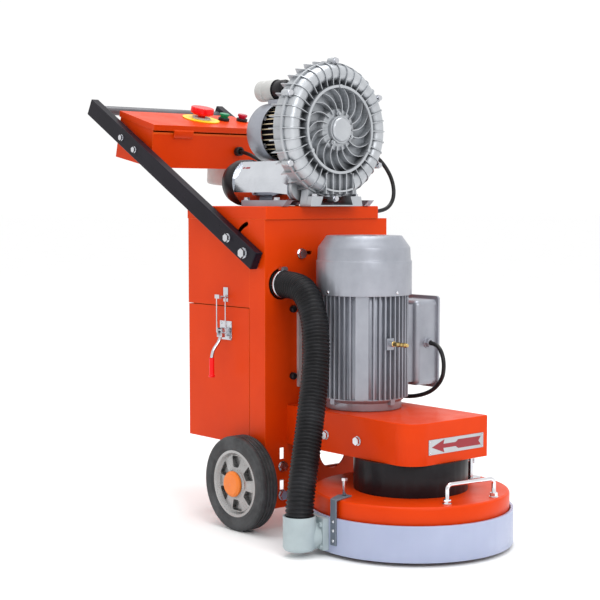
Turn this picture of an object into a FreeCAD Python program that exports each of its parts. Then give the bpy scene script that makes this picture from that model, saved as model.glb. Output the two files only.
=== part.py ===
"""Walk-behind concrete floor grinder with a built-in vacuum: one STEP file per sub-part.

Everything is laid out in millimetres from the grinding spindle's axis at floor level: X to the right
seen from the front, Y towards the operator, Z up. The shapes are moved at the end, so that the
origin lies on the floor under the middle of the machine's overall box.
"""
import FreeCAD, Part
import math
import os

V = FreeCAD.Vector
X_DIR = V(1, 0, 0)
Y_DIR = V(0, 1, 0)
Z_DIR = V(0, 0, 1)

# ---- driving dimensions, mm -------------------------------------------------------------------
ORIGIN = V(-17.0, 393.5, 0)      # middle of the overall box, from the spindle's axis

# grinding head
SKIRT_R = 230.0
SKIRT_WALL = 6.5
SKIRT_Z = (9.0, 87.0)
SHROUD_R = 221.0
SHROUD_Z = (80.0, 125.0)
COLLAR_R = 128.5
COLLAR_WALL = 7.0
PLATE_R = 186.0
PLATE_Z = (18.0, 32.0)
SHOE_COUNT = 6
GUIDE_PIN = (-186.0, 16.0)       # x, y of the pin that the first strap rides on
GUIDE_PIN_R = 4.0
STRAP_TURNS = (0, 200)
SPINDLE_R = 17.5
BEARING_R = 36.0
BEARING_H = 17.0
BEARING_Z = (112.0, 170.0)
RUN_FIT = 0.05                   # radial clearance of every running fit

# belt drive
HOUSING_X = (-116.0, 125.0)
HOUSING_Y = (-119.0, 295.0)
HOUSING_Z = (198.0, 290.0)
HOUSING_CORNERS = (50.0, 5.0)    # left and right front corners, outside
HOUSING_WALL = 4.0
HOUSING_BOLTS_Y = (49.0, 156.0)
BELT_Z = (241.0, 259.0)
BELT_W = 10.0
BELT_T = 8.0
BELT_GAP = 0.5
PITCH_SPINDLE = 74.0             # twice the motor pulley's pitch radius
PITCH_MOTOR = 37.0

# main motor
MOTOR_Y = 156.0
MOTOR_R = 105.0
MOTOR_CORE_R = 92.0
STATOR_BORE = 52.0
MOTOR_SHAFT_R = 14.0
FIN_COUNT = 48
MOTOR_Z = (318.0, 555.0)
MOTOR_FOOT_R = 88.0
MOTOR_PADS = (-135.0, -45.0, 0.0, 45.0, 135.0)
COWL_R = 110.5
COWL_TOP = 688.0
BARB = (-16.0, 446.0)             # x, z
TERMINAL_X = (94.0, 200.0)
TERMINAL_Y = (112.0, 206.0)
TERMINAL_Z = (331.0, 534.0)

# cabinet
CAB_X = 11.0                     # the cabinet, wheels and handle are centred here
CAB_HALF = 193.0
CAB_Y = (295.0, 595.0)
COLUMN_Y = 353.0
CAB_Z = (192.0, 725.0)
SEAM_Z = 517.0
SHEET = 2.0
LEG_Z = 48.0
LID_X = (-182.0, 171.0)
LID_Y = (289.0, 600.0)
LID_Z = (725.0, 755.0)
HOSE_HOLE = (-134.0, 575.0)      # x, z
HOSE_HOLE_R = 37.0
KNOB_X = -100.0
KNOB_Z = (357.0, 515.0)
FILTER_Y = 470.0
FILTER_R = 72.0
FILTER_LOW = 545.0
LEG_BOLT_X = 142.0               # from the cabinet's centre

# wheels
WHEEL_R = 111.0
WHEEL_W = 47.0
WHEEL_OUT = 252.0                # outer face, from the cabinet's centre
RIM_R = 78.0
SPOKE_COUNT = 6
AXLE_R = 10.0
AXLE_Y = 341.0
CAP_R = 30.0

# handle
BAR_H = 44.0
BAR_W = 23.0
BAR_IN = 195.0                   # inner face, from the cabinet's centre
BAR_ANGLE = 29.1
PIVOT = (342.0, 647.0)           # y, z
BAR_BACK = -37.0                 # bar's lower end, along the bar from the pivot
BAR_END = 760.0
SLOT_R = 70.0
SLOT_ANGLES = (27.1, 73.0)       # between the ends' centres
SLOT_W = 11.0
CROSSBAR_R = 12.0
CROSSBAR_AT = 742.0
PIVOT_R = 6.0
LOCK_R = 5.0

# control box, side outline as (y, z)
BOX_HALF = 183.0
BOX_FRONT_TOP = (754.0, 961.0)
BOX_REAR_TOP = (906.0, 1002.0)
BOX_REAR_LOW = (934.0, 884.0)
BOX_FRONT_LOW = (768.0, 852.0)
LID_RIM = 15.0
ESTOP_X = 40.0
START_X = 116.0
STOP_X = 178.0
SWITCH_AT = 92.0                 # from the lid's front edge, up its slope
SWITCH_HOLE_R = 11.0
STEM_R = 10.3
ESTOP_R = 31.0
BUTTON_R = 13.0
BOX_BOLTS_AT = (515.0, 582.0)    # along the bar from the pivot
BOX_BOLT_R = 4.0

# blower: casing, its motor and the two pipe silencers
BLOWER_Z = 934.0
BLOWER_R = 153.0
CASING_Y = (237.0, 266.0, 306.0)  # ring's front, joint of the halves, back
TUBE_R = 21.0                    # half-round side channel
RING_R = 103.5
RING_WALL = 6.0
FLANGE_R = 158.0
OUTLET_HALF = 43.0
LUG_R = 8.0
LUG_AT = 161.0
LUG_COUNT = 6
RIB_COUNT = 36
RIB_W = 2.0
REAR_RIB_R = 163.0
VANE_COUNT = 18
VANE_SWEEP = 24.0
CHAMBER_R = 96.0
HUB_SCREW_ANGLES = (-7, 114, 216)
BLOWER_SHAFT_R = 9.0
LEG_Y = (250.0, 290.0)
LEG_OUT = 81.0
LEG_FOOT_H = 23.0
BLOWER_MOTOR_R = 62.0
BLOWER_MOTOR_END = 466.0
BLOWER_COWL_R = 73.0
BLOWER_COWL_Y = (446.0, 512.0)
CAPACITOR_R = 26.0
CAPACITOR_Y = (432.0, 468.0, 536.0)   # boot's end, can's ends
PIPE_R = 30.0
PIPE_Z = 798.0
SILENCER_X = 70.0
SILENCER_Z = 812.0
SILENCER_Y = (310.0, 350.0, 490.0, 548.0)  # pipe's end, body's ends, cap's end
SILENCER_OUTLINE = ((-24, 50), (24, 50), (52, 10), (52, -24), (32, -48), (-32, -48), (-52, -24),
                    (-52, 10))
END_CAP_R = 56.0
FOOT_Z = 14.0
RAIL_OUT = 58.0                  # from the silencer's axis
RAIL_BOLTS_Y = (318.0, 430.0)
SADDLE_Y = (376.0, 424.0)

# bin latches, from the cabinet's side face outwards
LATCH_Y = 442.0
LATCH_PIVOT = (16.0, 460.0)      # out, z
BAIL_DROP = 5.0
BAIL_TOP = 541.0
WIRE_R = 1.5
BAIL_HALF = 17.0
GRIP_OUT = 28.0                  # from the pivot

# dust port and hose
PORT_ANGLE = 167.3
PORT_R = 282.0
PORT_Z = (13.0, 89.0)
SOCKET_R = 36.0
HOSE_R = 31.5


# ---- helpers ----------------------------------------------------------------------------------
def block(x, y, z):
    """A box between pairs of coordinates."""
    return Part.makeBox(x[1] - x[0], y[1] - y[0], z[1] - z[0], V(x[0], y[0], z[0]))


def rod(base, direction, radius, length):
    return Part.makeCylinder(radius, length, V(*base), direction)


def tube(base, direction, outer, inner, length):
    return rod(base, direction, outer, length).cut(rod(base, direction, inner, length))


def profile(points, thickness, plane):
    """An outline, extruded along the axis that is normal to its plane: points are (a, b) pairs."""
    place = {"yz": lambda a, b, c: V(c, a, b), "xz": lambda a, b, c: V(a, c, b),
             "xy": lambda a, b, c: V(a, b, c)}[plane]
    start, end = thickness
    wire = Part.makePolygon([place(a, b, start) for a, b in points + points[:1]])
    return Part.Face(wire).extrude(place(0, 0, end - start))


def turned(points, centre, axis):
    """A solid of revolution: points are (radius, along) pairs, about an axis through centre."""
    side = X_DIR if axis != X_DIR else Y_DIR
    corners = [V(*centre) + side * r + axis * a for r, a in points]
    return Part.Face(Part.makePolygon(corners + corners[:1])).revolve(V(*centre), axis, 360)


def fused(shapes):
    first, *rest = shapes
    return first.multiFuse(rest).removeSplitter() if rest else first


def rounded(shape, radius, chosen):
    """Fillets the edges that chosen picks by their middle point and direction."""
    edges = [e for e in shape.Edges if chosen(e.CenterOfMass, e)]
    return shape.makeFillet(radius, edges)


def upright(edge):
    a, b = edge.Vertexes[0].Point, edge.Vertexes[-1].Point
    return abs(a.x - b.x) < 0.01 and abs(a.y - b.y) < 0.01


def hexagon(centre, direction, across, height):
    """A hexagonal head or nut, standing on centre."""
    corners = [V(across / math.sqrt(3) * math.cos(math.radians(60 * k)),
                 across / math.sqrt(3) * math.sin(math.radians(60 * k)), 0) for k in range(7)]
    head = Part.Face(Part.makePolygon(corners)).extrude(V(0, 0, height))
    head.Placement = FreeCAD.Placement(V(*centre), FreeCAD.Rotation(Z_DIR, direction))
    return head


def bolt(under_head, outward, radius, length):
    """A hex bolt with its washer: under_head is on the clamped surface, outward points away."""
    washer = rod(under_head, outward, radius * 2.1, radius * 0.35)
    head = hexagon(V(*under_head) + outward * radius * 0.35, outward, radius * 3.3, radius * 1.3)
    shank = rod(under_head, outward * -1, radius, length)
    return fused([washer, head, shank])


def mirrored(shape):
    """The same piece on the other side of the cabinet."""
    return shape.mirror(V(CAB_X, 0, 0), X_DIR)


def around(x, y, angle):
    """A point turned about the spindle's axis."""
    a = math.radians(angle)
    return x * math.cos(a) - y * math.sin(a), x * math.sin(a) + y * math.cos(a)


def round_path(points, name):
    """Straight runs joined by tangent arcs that are as large as the runs beside them allow."""
    points = [V(*p) for p in points]
    edges, start, radii = [], points[0], []
    for before, here, after in zip(points, points[1:], points[2:]):
        back = (before - here).normalize()
        ahead = (after - here).normalize()
        half_turn = (math.pi - back.getAngle(ahead)) / 2
        setback = 0.45 * min((before - here).Length, (after - here).Length)
        radius = setback / math.tan(half_turn)
        radii.append(round(radius))
        a, b = here + back * setback, here + ahead * setback
        bisector = (back + ahead).normalize()
        middle = here + bisector * (radius / math.cos(half_turn) - radius)
        edges.append(Part.LineSegment(start, a).toShape())
        edges.append(Part.Arc(a, middle, b).toShape())
        start = b
    edges.append(Part.LineSegment(start, points[-1]).toShape())
    print(name, "arc radii", radii)
    return Part.Wire(edges)


def swept(points, radius, name):
    """A round bar, wire or cable along a path of straight runs and arcs."""
    path = round_path(points, name)
    first = path.Edges[0]
    direction = first.tangentAt(first.FirstParameter)
    circle = Part.Wire(Part.makeCircle(radius, V(*points[0]), direction))
    solid = path.makePipeShell([circle], True, True)
    print(name, "volume ratio", round(solid.Volume / (math.pi * radius**2 * path.Length), 3))
    return solid


# ---- chassis ----------------------------------------------------------------------------------
def cabinet_sides():
    return CAB_X - CAB_HALF, CAB_X + CAB_HALF


def front_frame():
    """Folded column at the cabinet's front, whose legs reach down to the wheel axle."""
    left, right = cabinet_sides()
    front = CAB_Y[0]
    plate = 4.0
    parts = [block((left, right), (front, front + plate), (LEG_Z, CAB_Z[1]))]
    for x in (left, right - 3):
        parts.append(block((x, x + 3), (front, COLUMN_Y), (CAB_Z[0], CAB_Z[1])))
        parts.append(block((x, x + 3), (front, COLUMN_Y + 22), (LEG_Z + 14, CAB_Z[0])))
    parts.append(block((left, right), (front, COLUMN_Y), (CAB_Z[1] - 3, CAB_Z[1])))
    parts.append(block((left, right), (front, COLUMN_Y), (CAB_Z[0], CAB_Z[0] + 3)))
    frame = fused(parts)
    through = [rod((HOSE_HOLE[0], front - 5, HOSE_HOLE[1]), Y_DIR, HOSE_HOLE_R, 30)]
    through.append(rod((left - 5, AXLE_Y, WHEEL_R), X_DIR, AXLE_R, right - left + 10))
    through.append(rod((left - 5, *PIVOT), X_DIR, PIVOT_R + RUN_FIT, right - left + 10))
    through.append(rod((28, front - 5, 166), Y_DIR, 42, 30))
    for side in (-1, 1):
        x = CAB_X + side * LEG_BOLT_X
        through.append(block((x - 7, x + 7), (front - 5, front + 10), (163, 190)))
        through.append(block((x - 7, x + 7), (front - 5, front + 10), (90, 115)))
    through.append(block((-62, -40), (front - 5, front + 10), (641, 650)))
    low = block((left + 92, right - 92), (front - 5, front + 10), (LEG_Z - 5, 88))
    return frame.cut(Part.makeCompound(through)).cut(low)


def arc_slot(x):
    """The curved slot that the handle's lock bolt slides in."""
    y, z = PIVOT
    ring = tube((x - 5, y, z), X_DIR, SLOT_R + SLOT_W / 2, SLOT_R - SLOT_W / 2, 10)
    a0, a1 = (math.radians(a) for a in SLOT_ANGLES)
    reach = 2 * SLOT_R
    wedge = [(y, z), (y + reach * math.cos(a0), z + reach * math.sin(a0)),
             (y + reach * math.cos(a1), z + reach * math.sin(a1))]
    parts = [ring.common(profile(wedge, (x - 5, x + 5), "yz"))]
    for a in (a0, a1):
        end = (x - 5, y + SLOT_R * math.cos(a), z + SLOT_R * math.sin(a))
        parts.append(rod(end, X_DIR, SLOT_W / 2, 10))
    return fused(parts)


def filter_housing():
    """Upper cabinet shell, open below over the dust bin."""
    left, right = cabinet_sides()
    outer = block((left, right), (COLUMN_Y, CAB_Y[1]), (SEAM_Z + 1, CAB_Z[1]))
    inner = block((left + SHEET, right - SHEET), (COLUMN_Y + SHEET, CAB_Y[1] - SHEET),
                  (SEAM_Z - 5, CAB_Z[1] - SHEET))
    filter_hole = rod((CAB_X, FILTER_Y, CAB_Z[1] - 10), Z_DIR, FILTER_R - 12, 20)
    return outer.cut(inner).cut(filter_hole).cut(arc_slot(left)).cut(arc_slot(right))


def cabinet_lid():
    outer = block(LID_X, LID_Y, LID_Z)
    inner = block((LID_X[0] + SHEET, LID_X[1] - SHEET), (LID_Y[0] + SHEET, LID_Y[1] - SHEET),
                  (LID_Z[0] - 1, LID_Z[1] - SHEET))
    _, y, z = BLOWER_CABLE[-1]
    cable_hole = rod((LID_X[1] - 10, y, z), X_DIR, CABLE_R + 1.5, 20)
    x, y, z = CONTROL_CABLE[-1]
    control_hole = rod((x, y + 1, z - 6), Z_DIR, CABLE_R + 3, 20)
    lid = rounded(outer, 3, lambda m, e: upright(e) or m.z > LID_Z[1] - 0.1)
    return lid.cut(inner).cut(cable_hole).cut(control_hole)


def filter_cartridge():
    """Pleated filter drum that hangs from the housing's top."""
    low, top = FILTER_LOW, CAB_Z[1] - SHEET
    drum = turned([(42, low), (FILTER_R, low), (FILTER_R, top), (FILTER_R - 10, top),
                   (FILTER_R - 10, low + 8), (42, low + 8)], (CAB_X, FILTER_Y, 0), Z_DIR)
    end = rod((CAB_X, FILTER_Y, low - 4), Z_DIR, FILTER_R + 2, 4)
    return fused([drum, end])


def wheel_axle():
    inner = WHEEL_OUT - 12
    return rod((CAB_X - inner, AXLE_Y, WHEEL_R), X_DIR, AXLE_R, 2 * inner)


def latch_keeper():
    """Hook plate above the seam, with a deep upturned lip for the bail."""
    wall = CAB_X - CAB_HALF
    plate = block((wall - 2, wall), (LATCH_Y - 9, LATCH_Y + 9), (528, 562))
    arm = block((wall - 26, wall), (LATCH_Y - 9, LATCH_Y + 9), (536.5, 538.9))
    lip = block((wall - 28, wall - 24.4), (LATCH_Y - 9, LATCH_Y + 9), (536.5, 546))
    return fused([plate, arm, rounded(lip, 1.5, lambda m, e: m.z > 545.9 and e.Length > 10)])


def latch_keepers():
    keeper = latch_keeper()
    return Part.makeCompound([keeper, mirrored(keeper)])


# ---- grinding head ----------------------------------------------------------------------------
def rubber_collar():
    length = HOUSING_Z[0] - SHROUD_Z[1]
    return tube((0, 0, SHROUD_Z[1]), Z_DIR, COLLAR_R, COLLAR_R - COLLAR_WALL, length)


def head_shroud():
    low, top = SHROUD_Z
    wall = 4.0
    outline = [(62, top), (SHROUD_R - 6, top), (SHROUD_R - 1.8, top - 1.8), (SHROUD_R, top - 6),
               (SHROUD_R, low), (SHROUD_R - wall, low), (SHROUD_R - wall, top - 5), (62, top - 5)]
    pan = turned(outline, (0, 0, 0), Z_DIR)
    holes = [rod((*around(*GUIDE_PIN, turn), top - 10), Z_DIR, GUIDE_PIN_R, 20) for turn in STRAP_TURNS]
    return pan.cut(Part.makeCompound(holes))


def shroud_handle():
    """Bent lifting bail on the shroud, with a collar at each foot."""
    z = SHROUD_Z[1]
    a, b = (-68, -179), (62, -194)
    top = z + 41
    corners = [V(*a, z), V(*a, top), V(*b, top), V(*b, z)]
    bend = 11.0
    side = (corners[2] - corners[1]).normalize()
    up = Z_DIR * bend
    s = 1 - math.sqrt(0.5)
    start, end = corners[1] - up, corners[1] + side * bend
    start2, end2 = corners[2] - side * bend, corners[2] - up
    wire = Part.Wire([
        Part.LineSegment(corners[0], start).toShape(),
        Part.Arc(start, corners[1] + (side - Z_DIR) * bend * s, end).toShape(),
        Part.LineSegment(end, start2).toShape(),
        Part.Arc(start2, corners[2] - (side + Z_DIR) * bend * s, end2).toShape(),
        Part.LineSegment(end2, corners[3]).toShape()])
    bar = wire.makePipeShell([Part.Wire(Part.makeCircle(4.5, corners[0], Z_DIR))], True, True)
    feet = []
    for x, y in (a, b):
        feet.append(rod((x, y, z), Z_DIR, 10, 2))
        feet.append(hexagon((x, y, z + 2), Z_DIR, 15, 8))
    return fused([bar, *feet])


def head_tie_link():
    """Bolted lug between the belt housing and the shroud."""
    z = SHROUD_Z[1]
    x, y = 168, -20
    base = fused([block((x - 15, x + 15), (y - 18, y + 18), (z, z + 4)),
                  rod((x - 15, y, z), Z_DIR, 18, 4), rod((x + 15, y, z), Z_DIR, 18, 4)])
    low = HOUSING_Z[0]
    lug = block((x - 4, x + 4), (y - 11, y + 11), (z + 4, low))
    wall = HOUSING_X[1]
    arm = block((wall, x + 4), (y - 11, y + 11), (low, low + 5))
    side = block((wall, wall + 5), (y - 11, y + 11), (low, low + 20))
    pin = bolt((x + 4, y, z + 44), X_DIR, 6, 16)
    return fused([base, lug, arm, side, pin])


def bearing_housing():
    """Base plate of the drive, with the turned housing that carries the spindle bearings."""
    low, high = HOUSING_Z[0], HOUSING_Z[0] + 6
    wall = HOUSING_WALL
    plate = block((HOUSING_X[0] + wall, HOUSING_X[1] - wall), (HOUSING_Y[0] + wall, HOUSING_Y[1]),
                  (low, high))
    plate = front_corners(plate, wall)
    barrel = rod((0, 0, 104), Z_DIR, 60, low - 104)
    flange = rod((0, 0, SHROUD_Z[1] - 13), Z_DIR, 82, 8)
    body = fused([plate, barrel, flange])
    bores = [rod((0, 0, 100), Z_DIR, SPINDLE_R + 6, 110)]
    bores += [rod((0, 0, z), Z_DIR, BEARING_R, BEARING_H) for z in BEARING_Z]
    return body.cut(Part.makeCompound(bores))


def spindle_bearings():
    return Part.makeCompound([
        tube((0, 0, z), Z_DIR, BEARING_R, SPINDLE_R + RUN_FIT, BEARING_H) for z in BEARING_Z])


def spindle_shaft():
    flange = rod((0, 0, PLATE_Z[1]), Z_DIR, 52, 14)
    seat = rod((0, 0, PLATE_Z[1] + 14), Z_DIR, 28, 50)
    shaft = rod((0, 0, PLATE_Z[1]), Z_DIR, SPINDLE_R, 240)
    return fused([flange, seat, shaft])


def drive_plate():
    low, high = PLATE_Z
    plate = rod((0, 0, low), Z_DIR, PLATE_R, high - low)
    windows = []
    for k in range(SHOE_COUNT):
        x, y = around(118, 0, 360 / SHOE_COUNT * (k + 0.5))
        windows.append(rod((x, y, low - 5), Z_DIR, 22, 30))
    return rounded(plate, 3, lambda m, e: True).cut(Part.makeCompound(windows))


def diamond_shoe(angle):
    """Wedge-shaped tool plate with two abrasive segments."""
    top = PLATE_Z[0]
    plate = profile([(112, -22), (178, -30), (178, 30), (112, 22)], (top - 8, top), "xy")
    segments = [block((122, 168), (y, y + 13), (0, top - 8)) for y in (-20, 7)]
    shoe = fused([plate, *segments])
    shoe.rotate(V(0, 0, 0), Z_DIR, angle)
    return shoe


def diamond_shoes():
    return Part.makeCompound([diamond_shoe(360 / SHOE_COUNT * k) for k in range(SHOE_COUNT)])


def pulley(pitch, y, shaft_r):
    """Two-groove pulley whose grooves clear the belts all round."""
    outer = pitch + BELT_T / 2 + 1
    bottom = pitch - BELT_T / 2 - BELT_GAP
    low, high = BELT_Z[0] - 11, BELT_Z[1] + 11
    wheel = tube((0, y, low), Z_DIR, outer, shaft_r, high - low)
    half = BELT_W / 2 + BELT_GAP
    grooves = [tube((0, y, z - half), Z_DIR, outer + 5, bottom, 2 * half) for z in BELT_Z]
    return wheel.cut(Part.makeCompound(grooves))


def belt_outline(offset):
    """Loop around both pulleys, offset from the pitch line."""
    big, small = PITCH_SPINDLE + offset, PITCH_MOTOR + offset
    lean = math.asin((big - small) / MOTOR_Y)
    c, s = math.cos(lean), math.sin(lean)
    a, b = V(big * c, big * s, 0), V(small * c, MOTOR_Y + small * s, 0)
    a2, b2 = V(-a.x, a.y, 0), V(-b.x, b.y, 0)
    return Part.Wire([
        Part.LineSegment(a, b).toShape(),
        Part.Arc(b, V(0, MOTOR_Y + small, 0), b2).toShape(),
        Part.LineSegment(b2, a2).toShape(),
        Part.Arc(a2, V(0, -big, 0), a).toShape()])


def drive_belts():
    outer = Part.Face(belt_outline(BELT_T / 2))
    inner = Part.Face(belt_outline(-BELT_T / 2))
    loop = outer.extrude(V(0, 0, BELT_W)).cut(inner.extrude(V(0, 0, BELT_W)))
    return Part.makeCompound([loop.translated(V(0, 0, z - BELT_W / 2)) for z in BELT_Z])


def front_corners(shape, inset):
    """Rounds the belt housing's two front corners, or those of its inside."""
    for sign, radius in zip((-1, 1), HOUSING_CORNERS):
        shape = rounded(shape, radius - inset, lambda m, e: upright(e) and m.y < 0 and sign * m.x > 0)
    return shape


def belt_housing():
    """Deep cover over the belt drive, rounded at the front and open below."""
    (left, right), (front, back), (low, high) = HOUSING_X, HOUSING_Y, HOUSING_Z
    wall = HOUSING_WALL
    outer = front_corners(block(HOUSING_X, HOUSING_Y, HOUSING_Z), 0)
    inner = block((left + wall, right - wall), (front + wall, back + 5), (low - 5, high - wall))
    inner = front_corners(inner, wall)
    outer = rounded(outer, 2.5, lambda m, e: m.z > high - 0.1 and m.y < back - 1)
    return outer.cut(inner).cut(rod((0, MOTOR_Y, high - 10), Z_DIR, 80, 20))


def direction_plate():
    """Riveted plate on the housing's front, for the arrow of rotation."""
    front = HOUSING_Y[0]
    return block((-64, 108), (front - 1.5, front), (220, 253))


# ---- main motor -------------------------------------------------------------------------------
def fin(angle, width, reach):
    blade = block((MOTOR_CORE_R - 4, reach), (-width / 2, width / 2), MOTOR_Z)
    blade.rotate(V(0, 0, 0), Z_DIR, angle)
    return blade.translated(V(0, MOTOR_Y, 0))


def motor_shell():
    """Finned casting with the stator pressed in, and plain pads between the fins."""
    core = rod((0, MOTOR_Y, MOTOR_Z[0]), Z_DIR, MOTOR_CORE_R, MOTOR_Z[1] - MOTOR_Z[0])
    fins = [fin(angle, 30, MOTOR_R - 2) for angle in MOTOR_PADS]
    for k in range(FIN_COUNT):
        angle = 360 / FIN_COUNT * k - 180
        if all(abs(angle - pad) > 10 for pad in MOTOR_PADS):
            fins.append(fin(angle, 3.2, MOTOR_R))
    bore = rod((0, MOTOR_Y, MOTOR_Z[0] - 5), Z_DIR, STATOR_BORE, 300)
    return fused([core, *fins]).cut(bore)


def motor_envelope():
    """Round space that the fins take up."""
    return rod((0, MOTOR_Y, MOTOR_Z[0] - 50), Z_DIR, MOTOR_R, 320)


def motor_frame():
    """Finned shell, with the end shields that close it below and above as separate castings."""
    low, high = MOTOR_Z
    base = HOUSING_Z[1]
    shaft = MOTOR_SHAFT_R + RUN_FIT
    r = MOTOR_FOOT_R
    foot = turned([(shaft, base), (r - 2, base), (r, base + 2), (r, low - 10), (r + 8, low - 3),
                   (r + 8, low), (shaft, low)], (0, MOTOR_Y, 0), Z_DIR)
    ears = []
    for k in range(4):
        ear = block((-7, 7), (r - 3, r + 10), (low - 14, low))
        ear.rotate(V(0, 0, 0), Z_DIR, 90 * k)
        ears.append(ear.translated(V(0, MOTOR_Y, 0)))
    top = turned([(shaft, high), (100, high), (100, high + 9), (40, high + 14), (shaft, high + 14)],
                 (0, MOTOR_Y, 0), Z_DIR)
    return Part.makeCompound([motor_shell(), fused([foot, *ears]), top])


def motor_cowl():
    low, top, wall = MOTOR_Z[1] - 2, COWL_TOP, 3
    outline = [(MOTOR_R + 0.3, low), (COWL_R, low), (COWL_R, 630), (COWL_R - 2.5, 633),
               (COWL_R - 4, 661), (87, top), (30, top), (30, top - wall), (86, top - wall),
               (COWL_R - 4 - wall, 659), (COWL_R - 2.5 - wall, 632), (MOTOR_R + 0.3, 628)]
    return turned(outline, (0, MOTOR_Y, 0), Z_DIR)


def motor_rotor():
    """Shaft, laminated core and cooling fan, pressed together."""
    shaft = rod((0, MOTOR_Y, 222), Z_DIR, MOTOR_SHAFT_R, 418)
    core = rod((0, MOTOR_Y, 330), Z_DIR, STATOR_BORE - 2, 190)
    hub = rod((0, MOTOR_Y, 596), Z_DIR, 30, 30)
    blades = []
    for k in range(8):
        blade = block((20, 92), (-1.5, 1.5), (598, 624))
        blade.rotate(V(0, 0, 0), Z_DIR, 45 * k)
        blades.append(blade.translated(V(0, MOTOR_Y, 0)))
    return fused([shaft, core, hub, *blades])


def terminal_box():
    """Neck, deep-drawn cover with soft corners, and the flange that its corner screws hold."""
    (y0, y1), (z0, z1), (x0, x1) = TERMINAL_Y, TERMINAL_Z, TERMINAL_X
    neck = block((x0, x0 + 34), (y0 + 12, y1 - 12), (z0 + 10, z1 - 10))
    tray = block((x0 + 34, x1 - 6), TERMINAL_Y, TERMINAL_Z)
    tray = rounded(tray, 14, lambda m, e: m.x < x1 - 7 and m.x > x0 + 34 or m.x < x0 + 34.1)
    flange = block((x1 - 6, x1), (y0 - 6, y1 + 6), (z0 - 8, z1 + 8))
    flange = rounded(flange, 8, lambda m, e: abs(m.x - x1 + 3) < 0.1)
    hollow = block((x0 + 40, x1 - 10), (y0 + 8, y1 - 8), (z0 + 12, z1 - 12))
    screws = [hexagon((x1, y, z), X_DIR, 8, 4) for y in (y0 + 2, y1 - 2) for z in (z0, z1)]
    x, _, z = MOTOR_CABLE[0]
    gland = fused([rod((x, y0, z), Y_DIR * -1, 13, 4), hexagon((x, y0 - 4, z), Y_DIR * -1, 20, 9)])
    cable_hole = rod((x, y0 - 20, z), Y_DIR, CABLE_R + 1, 40)
    body = fused([neck, tray, flange, gland, *screws]).cut(hollow).cut(cable_hole)
    return body.cut(motor_envelope())


def brass_barb():
    """Water spigot screwed into a pad on the motor's front."""
    x, z = BARB
    y = MOTOR_Y - MOTOR_R
    pad = block((x - 11, x + 11), (y - 1, y + 9), (z - 14, z + 12))
    body = turned([(0, 0), (6.5, 0), (6.5, 12), (5, 13), (5, 24), (6, 27), (4.2, 34), (5.6, 38),
                   (4.2, 44), (5.6, 48), (3.6, 56), (0, 56)], (x, y, z), Y_DIR * -1)
    return fused([pad, body]).cut(motor_envelope())


# ---- blower -----------------------------------------------------------------------------------
def about_blower(shape, angle):
    """Turns a piece drawn above the blower's axis, and moves it up to that axis."""
    shape.rotate(V(0, 0, 0), Y_DIR, angle)
    return shape.translated(V(0, 0, BLOWER_Z))


def channel(back):
    """Half-round ring of the side channel, closed at its back by a flat."""
    y0, y1, _ = CASING_Y
    inner, outer = BLOWER_R - 2 * TUBE_R, BLOWER_R
    arc = Part.Arc(V(inner, y1 - 4, 0), V(BLOWER_R - TUBE_R, y1 - 4 - TUBE_R, 0), V(outer, y1 - 4, 0))
    corners = [V(outer, y1 - 4, 0), V(FLANGE_R, y1 - 4, 0), V(FLANGE_R, y1, 0), V(inner - back, y1, 0),
               V(inner - back, y1 - 4, 0), V(inner, y1 - 4, 0)]
    edges = [arc.toShape()] + [Part.makeLine(a, b) for a, b in zip(corners, corners[1:])]
    ring = Part.Face(Part.Wire(edges)).revolve(V(0, 0, 0), Y_DIR, 360)
    return ring.translated(V(0, 0, BLOWER_Z))


def vane(angle):
    """Thin guide vane between hub and ring, swept round towards its outer end."""
    y0, y1, _ = CASING_Y
    low, high = 40.0, RING_R - RING_WALL + 1
    sides = ([], [])
    for step in range(9):
        r = low + (high - low) * step / 8
        turn = math.radians(angle + VANE_SWEEP * ((r - low) / (high - low)) ** 2)
        middle = V(r * math.cos(turn), 0, r * math.sin(turn))
        across = V(-math.sin(turn), 0, math.cos(turn)) * (RIB_W / 2)
        for side, sign in zip(sides, (1, -1)):
            side.append(middle + across * sign)
    outline = [(p.x, p.z) for p in sides[0] + sides[1][::-1]]
    return profile(outline, (y0 + 4, y1 - 5), "xz").translated(V(0, 0, BLOWER_Z))


def casing_hub():
    """Bearing cap with three ears on a low plateau."""
    y0, y1, _ = CASING_Y
    hub = turned([(0, y0 - 7), (25, y0 - 7), (28, y0 - 4), (28, y0 - 1), (32, y0 - 1), (33, y0 + 8),
                  (48, y0 + 10), (56, y1 - 5), (0, y1 - 5)], (0, 0, BLOWER_Z), Y_DIR)
    pieces = [hub]
    for angle in HUB_SCREW_ANGLES:
        pieces.append(about_blower(rod((0, y0 + 1, 37), Y_DIR, 6, 10), angle))
        pieces.append(about_blower(rod((0, y0 - 2, 37), Y_DIR, 3, 4), angle))
    return pieces


def front_rib(angle):
    """Radial rib from the ring over the side channel to the flange."""
    y0, y1, _ = CASING_Y
    r = BLOWER_R - TUBE_R
    over = [(RING_R - 2, y0 + 5), (r - 20, y0 + 4), (r - 10, y0 + 2), (r, y0 + 1), (r + 10, y0 + 3),
            (r + 18, y0 + 9), (r + 23, y0 + 17), (FLANGE_R, y1 - 4), (FLANGE_R, y1), (RING_R - 2, y1)]
    outline = [(y, z) for z, y in over]
    return about_blower(profile(outline, (-RIB_W / 2, RIB_W / 2), "yz"), angle)


def lugs(low, high):
    """Ears that the casing bolts pass."""
    found = []
    for k in range(LUG_COUNT):
        lug = fused([rod((0, low, LUG_AT), Y_DIR, LUG_R, high - low),
                     block((-LUG_R, LUG_R), (low, high), (BLOWER_R - 6, LUG_AT))])
        found.append(about_blower(lug, 360 / LUG_COUNT * k))
    return found


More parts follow.
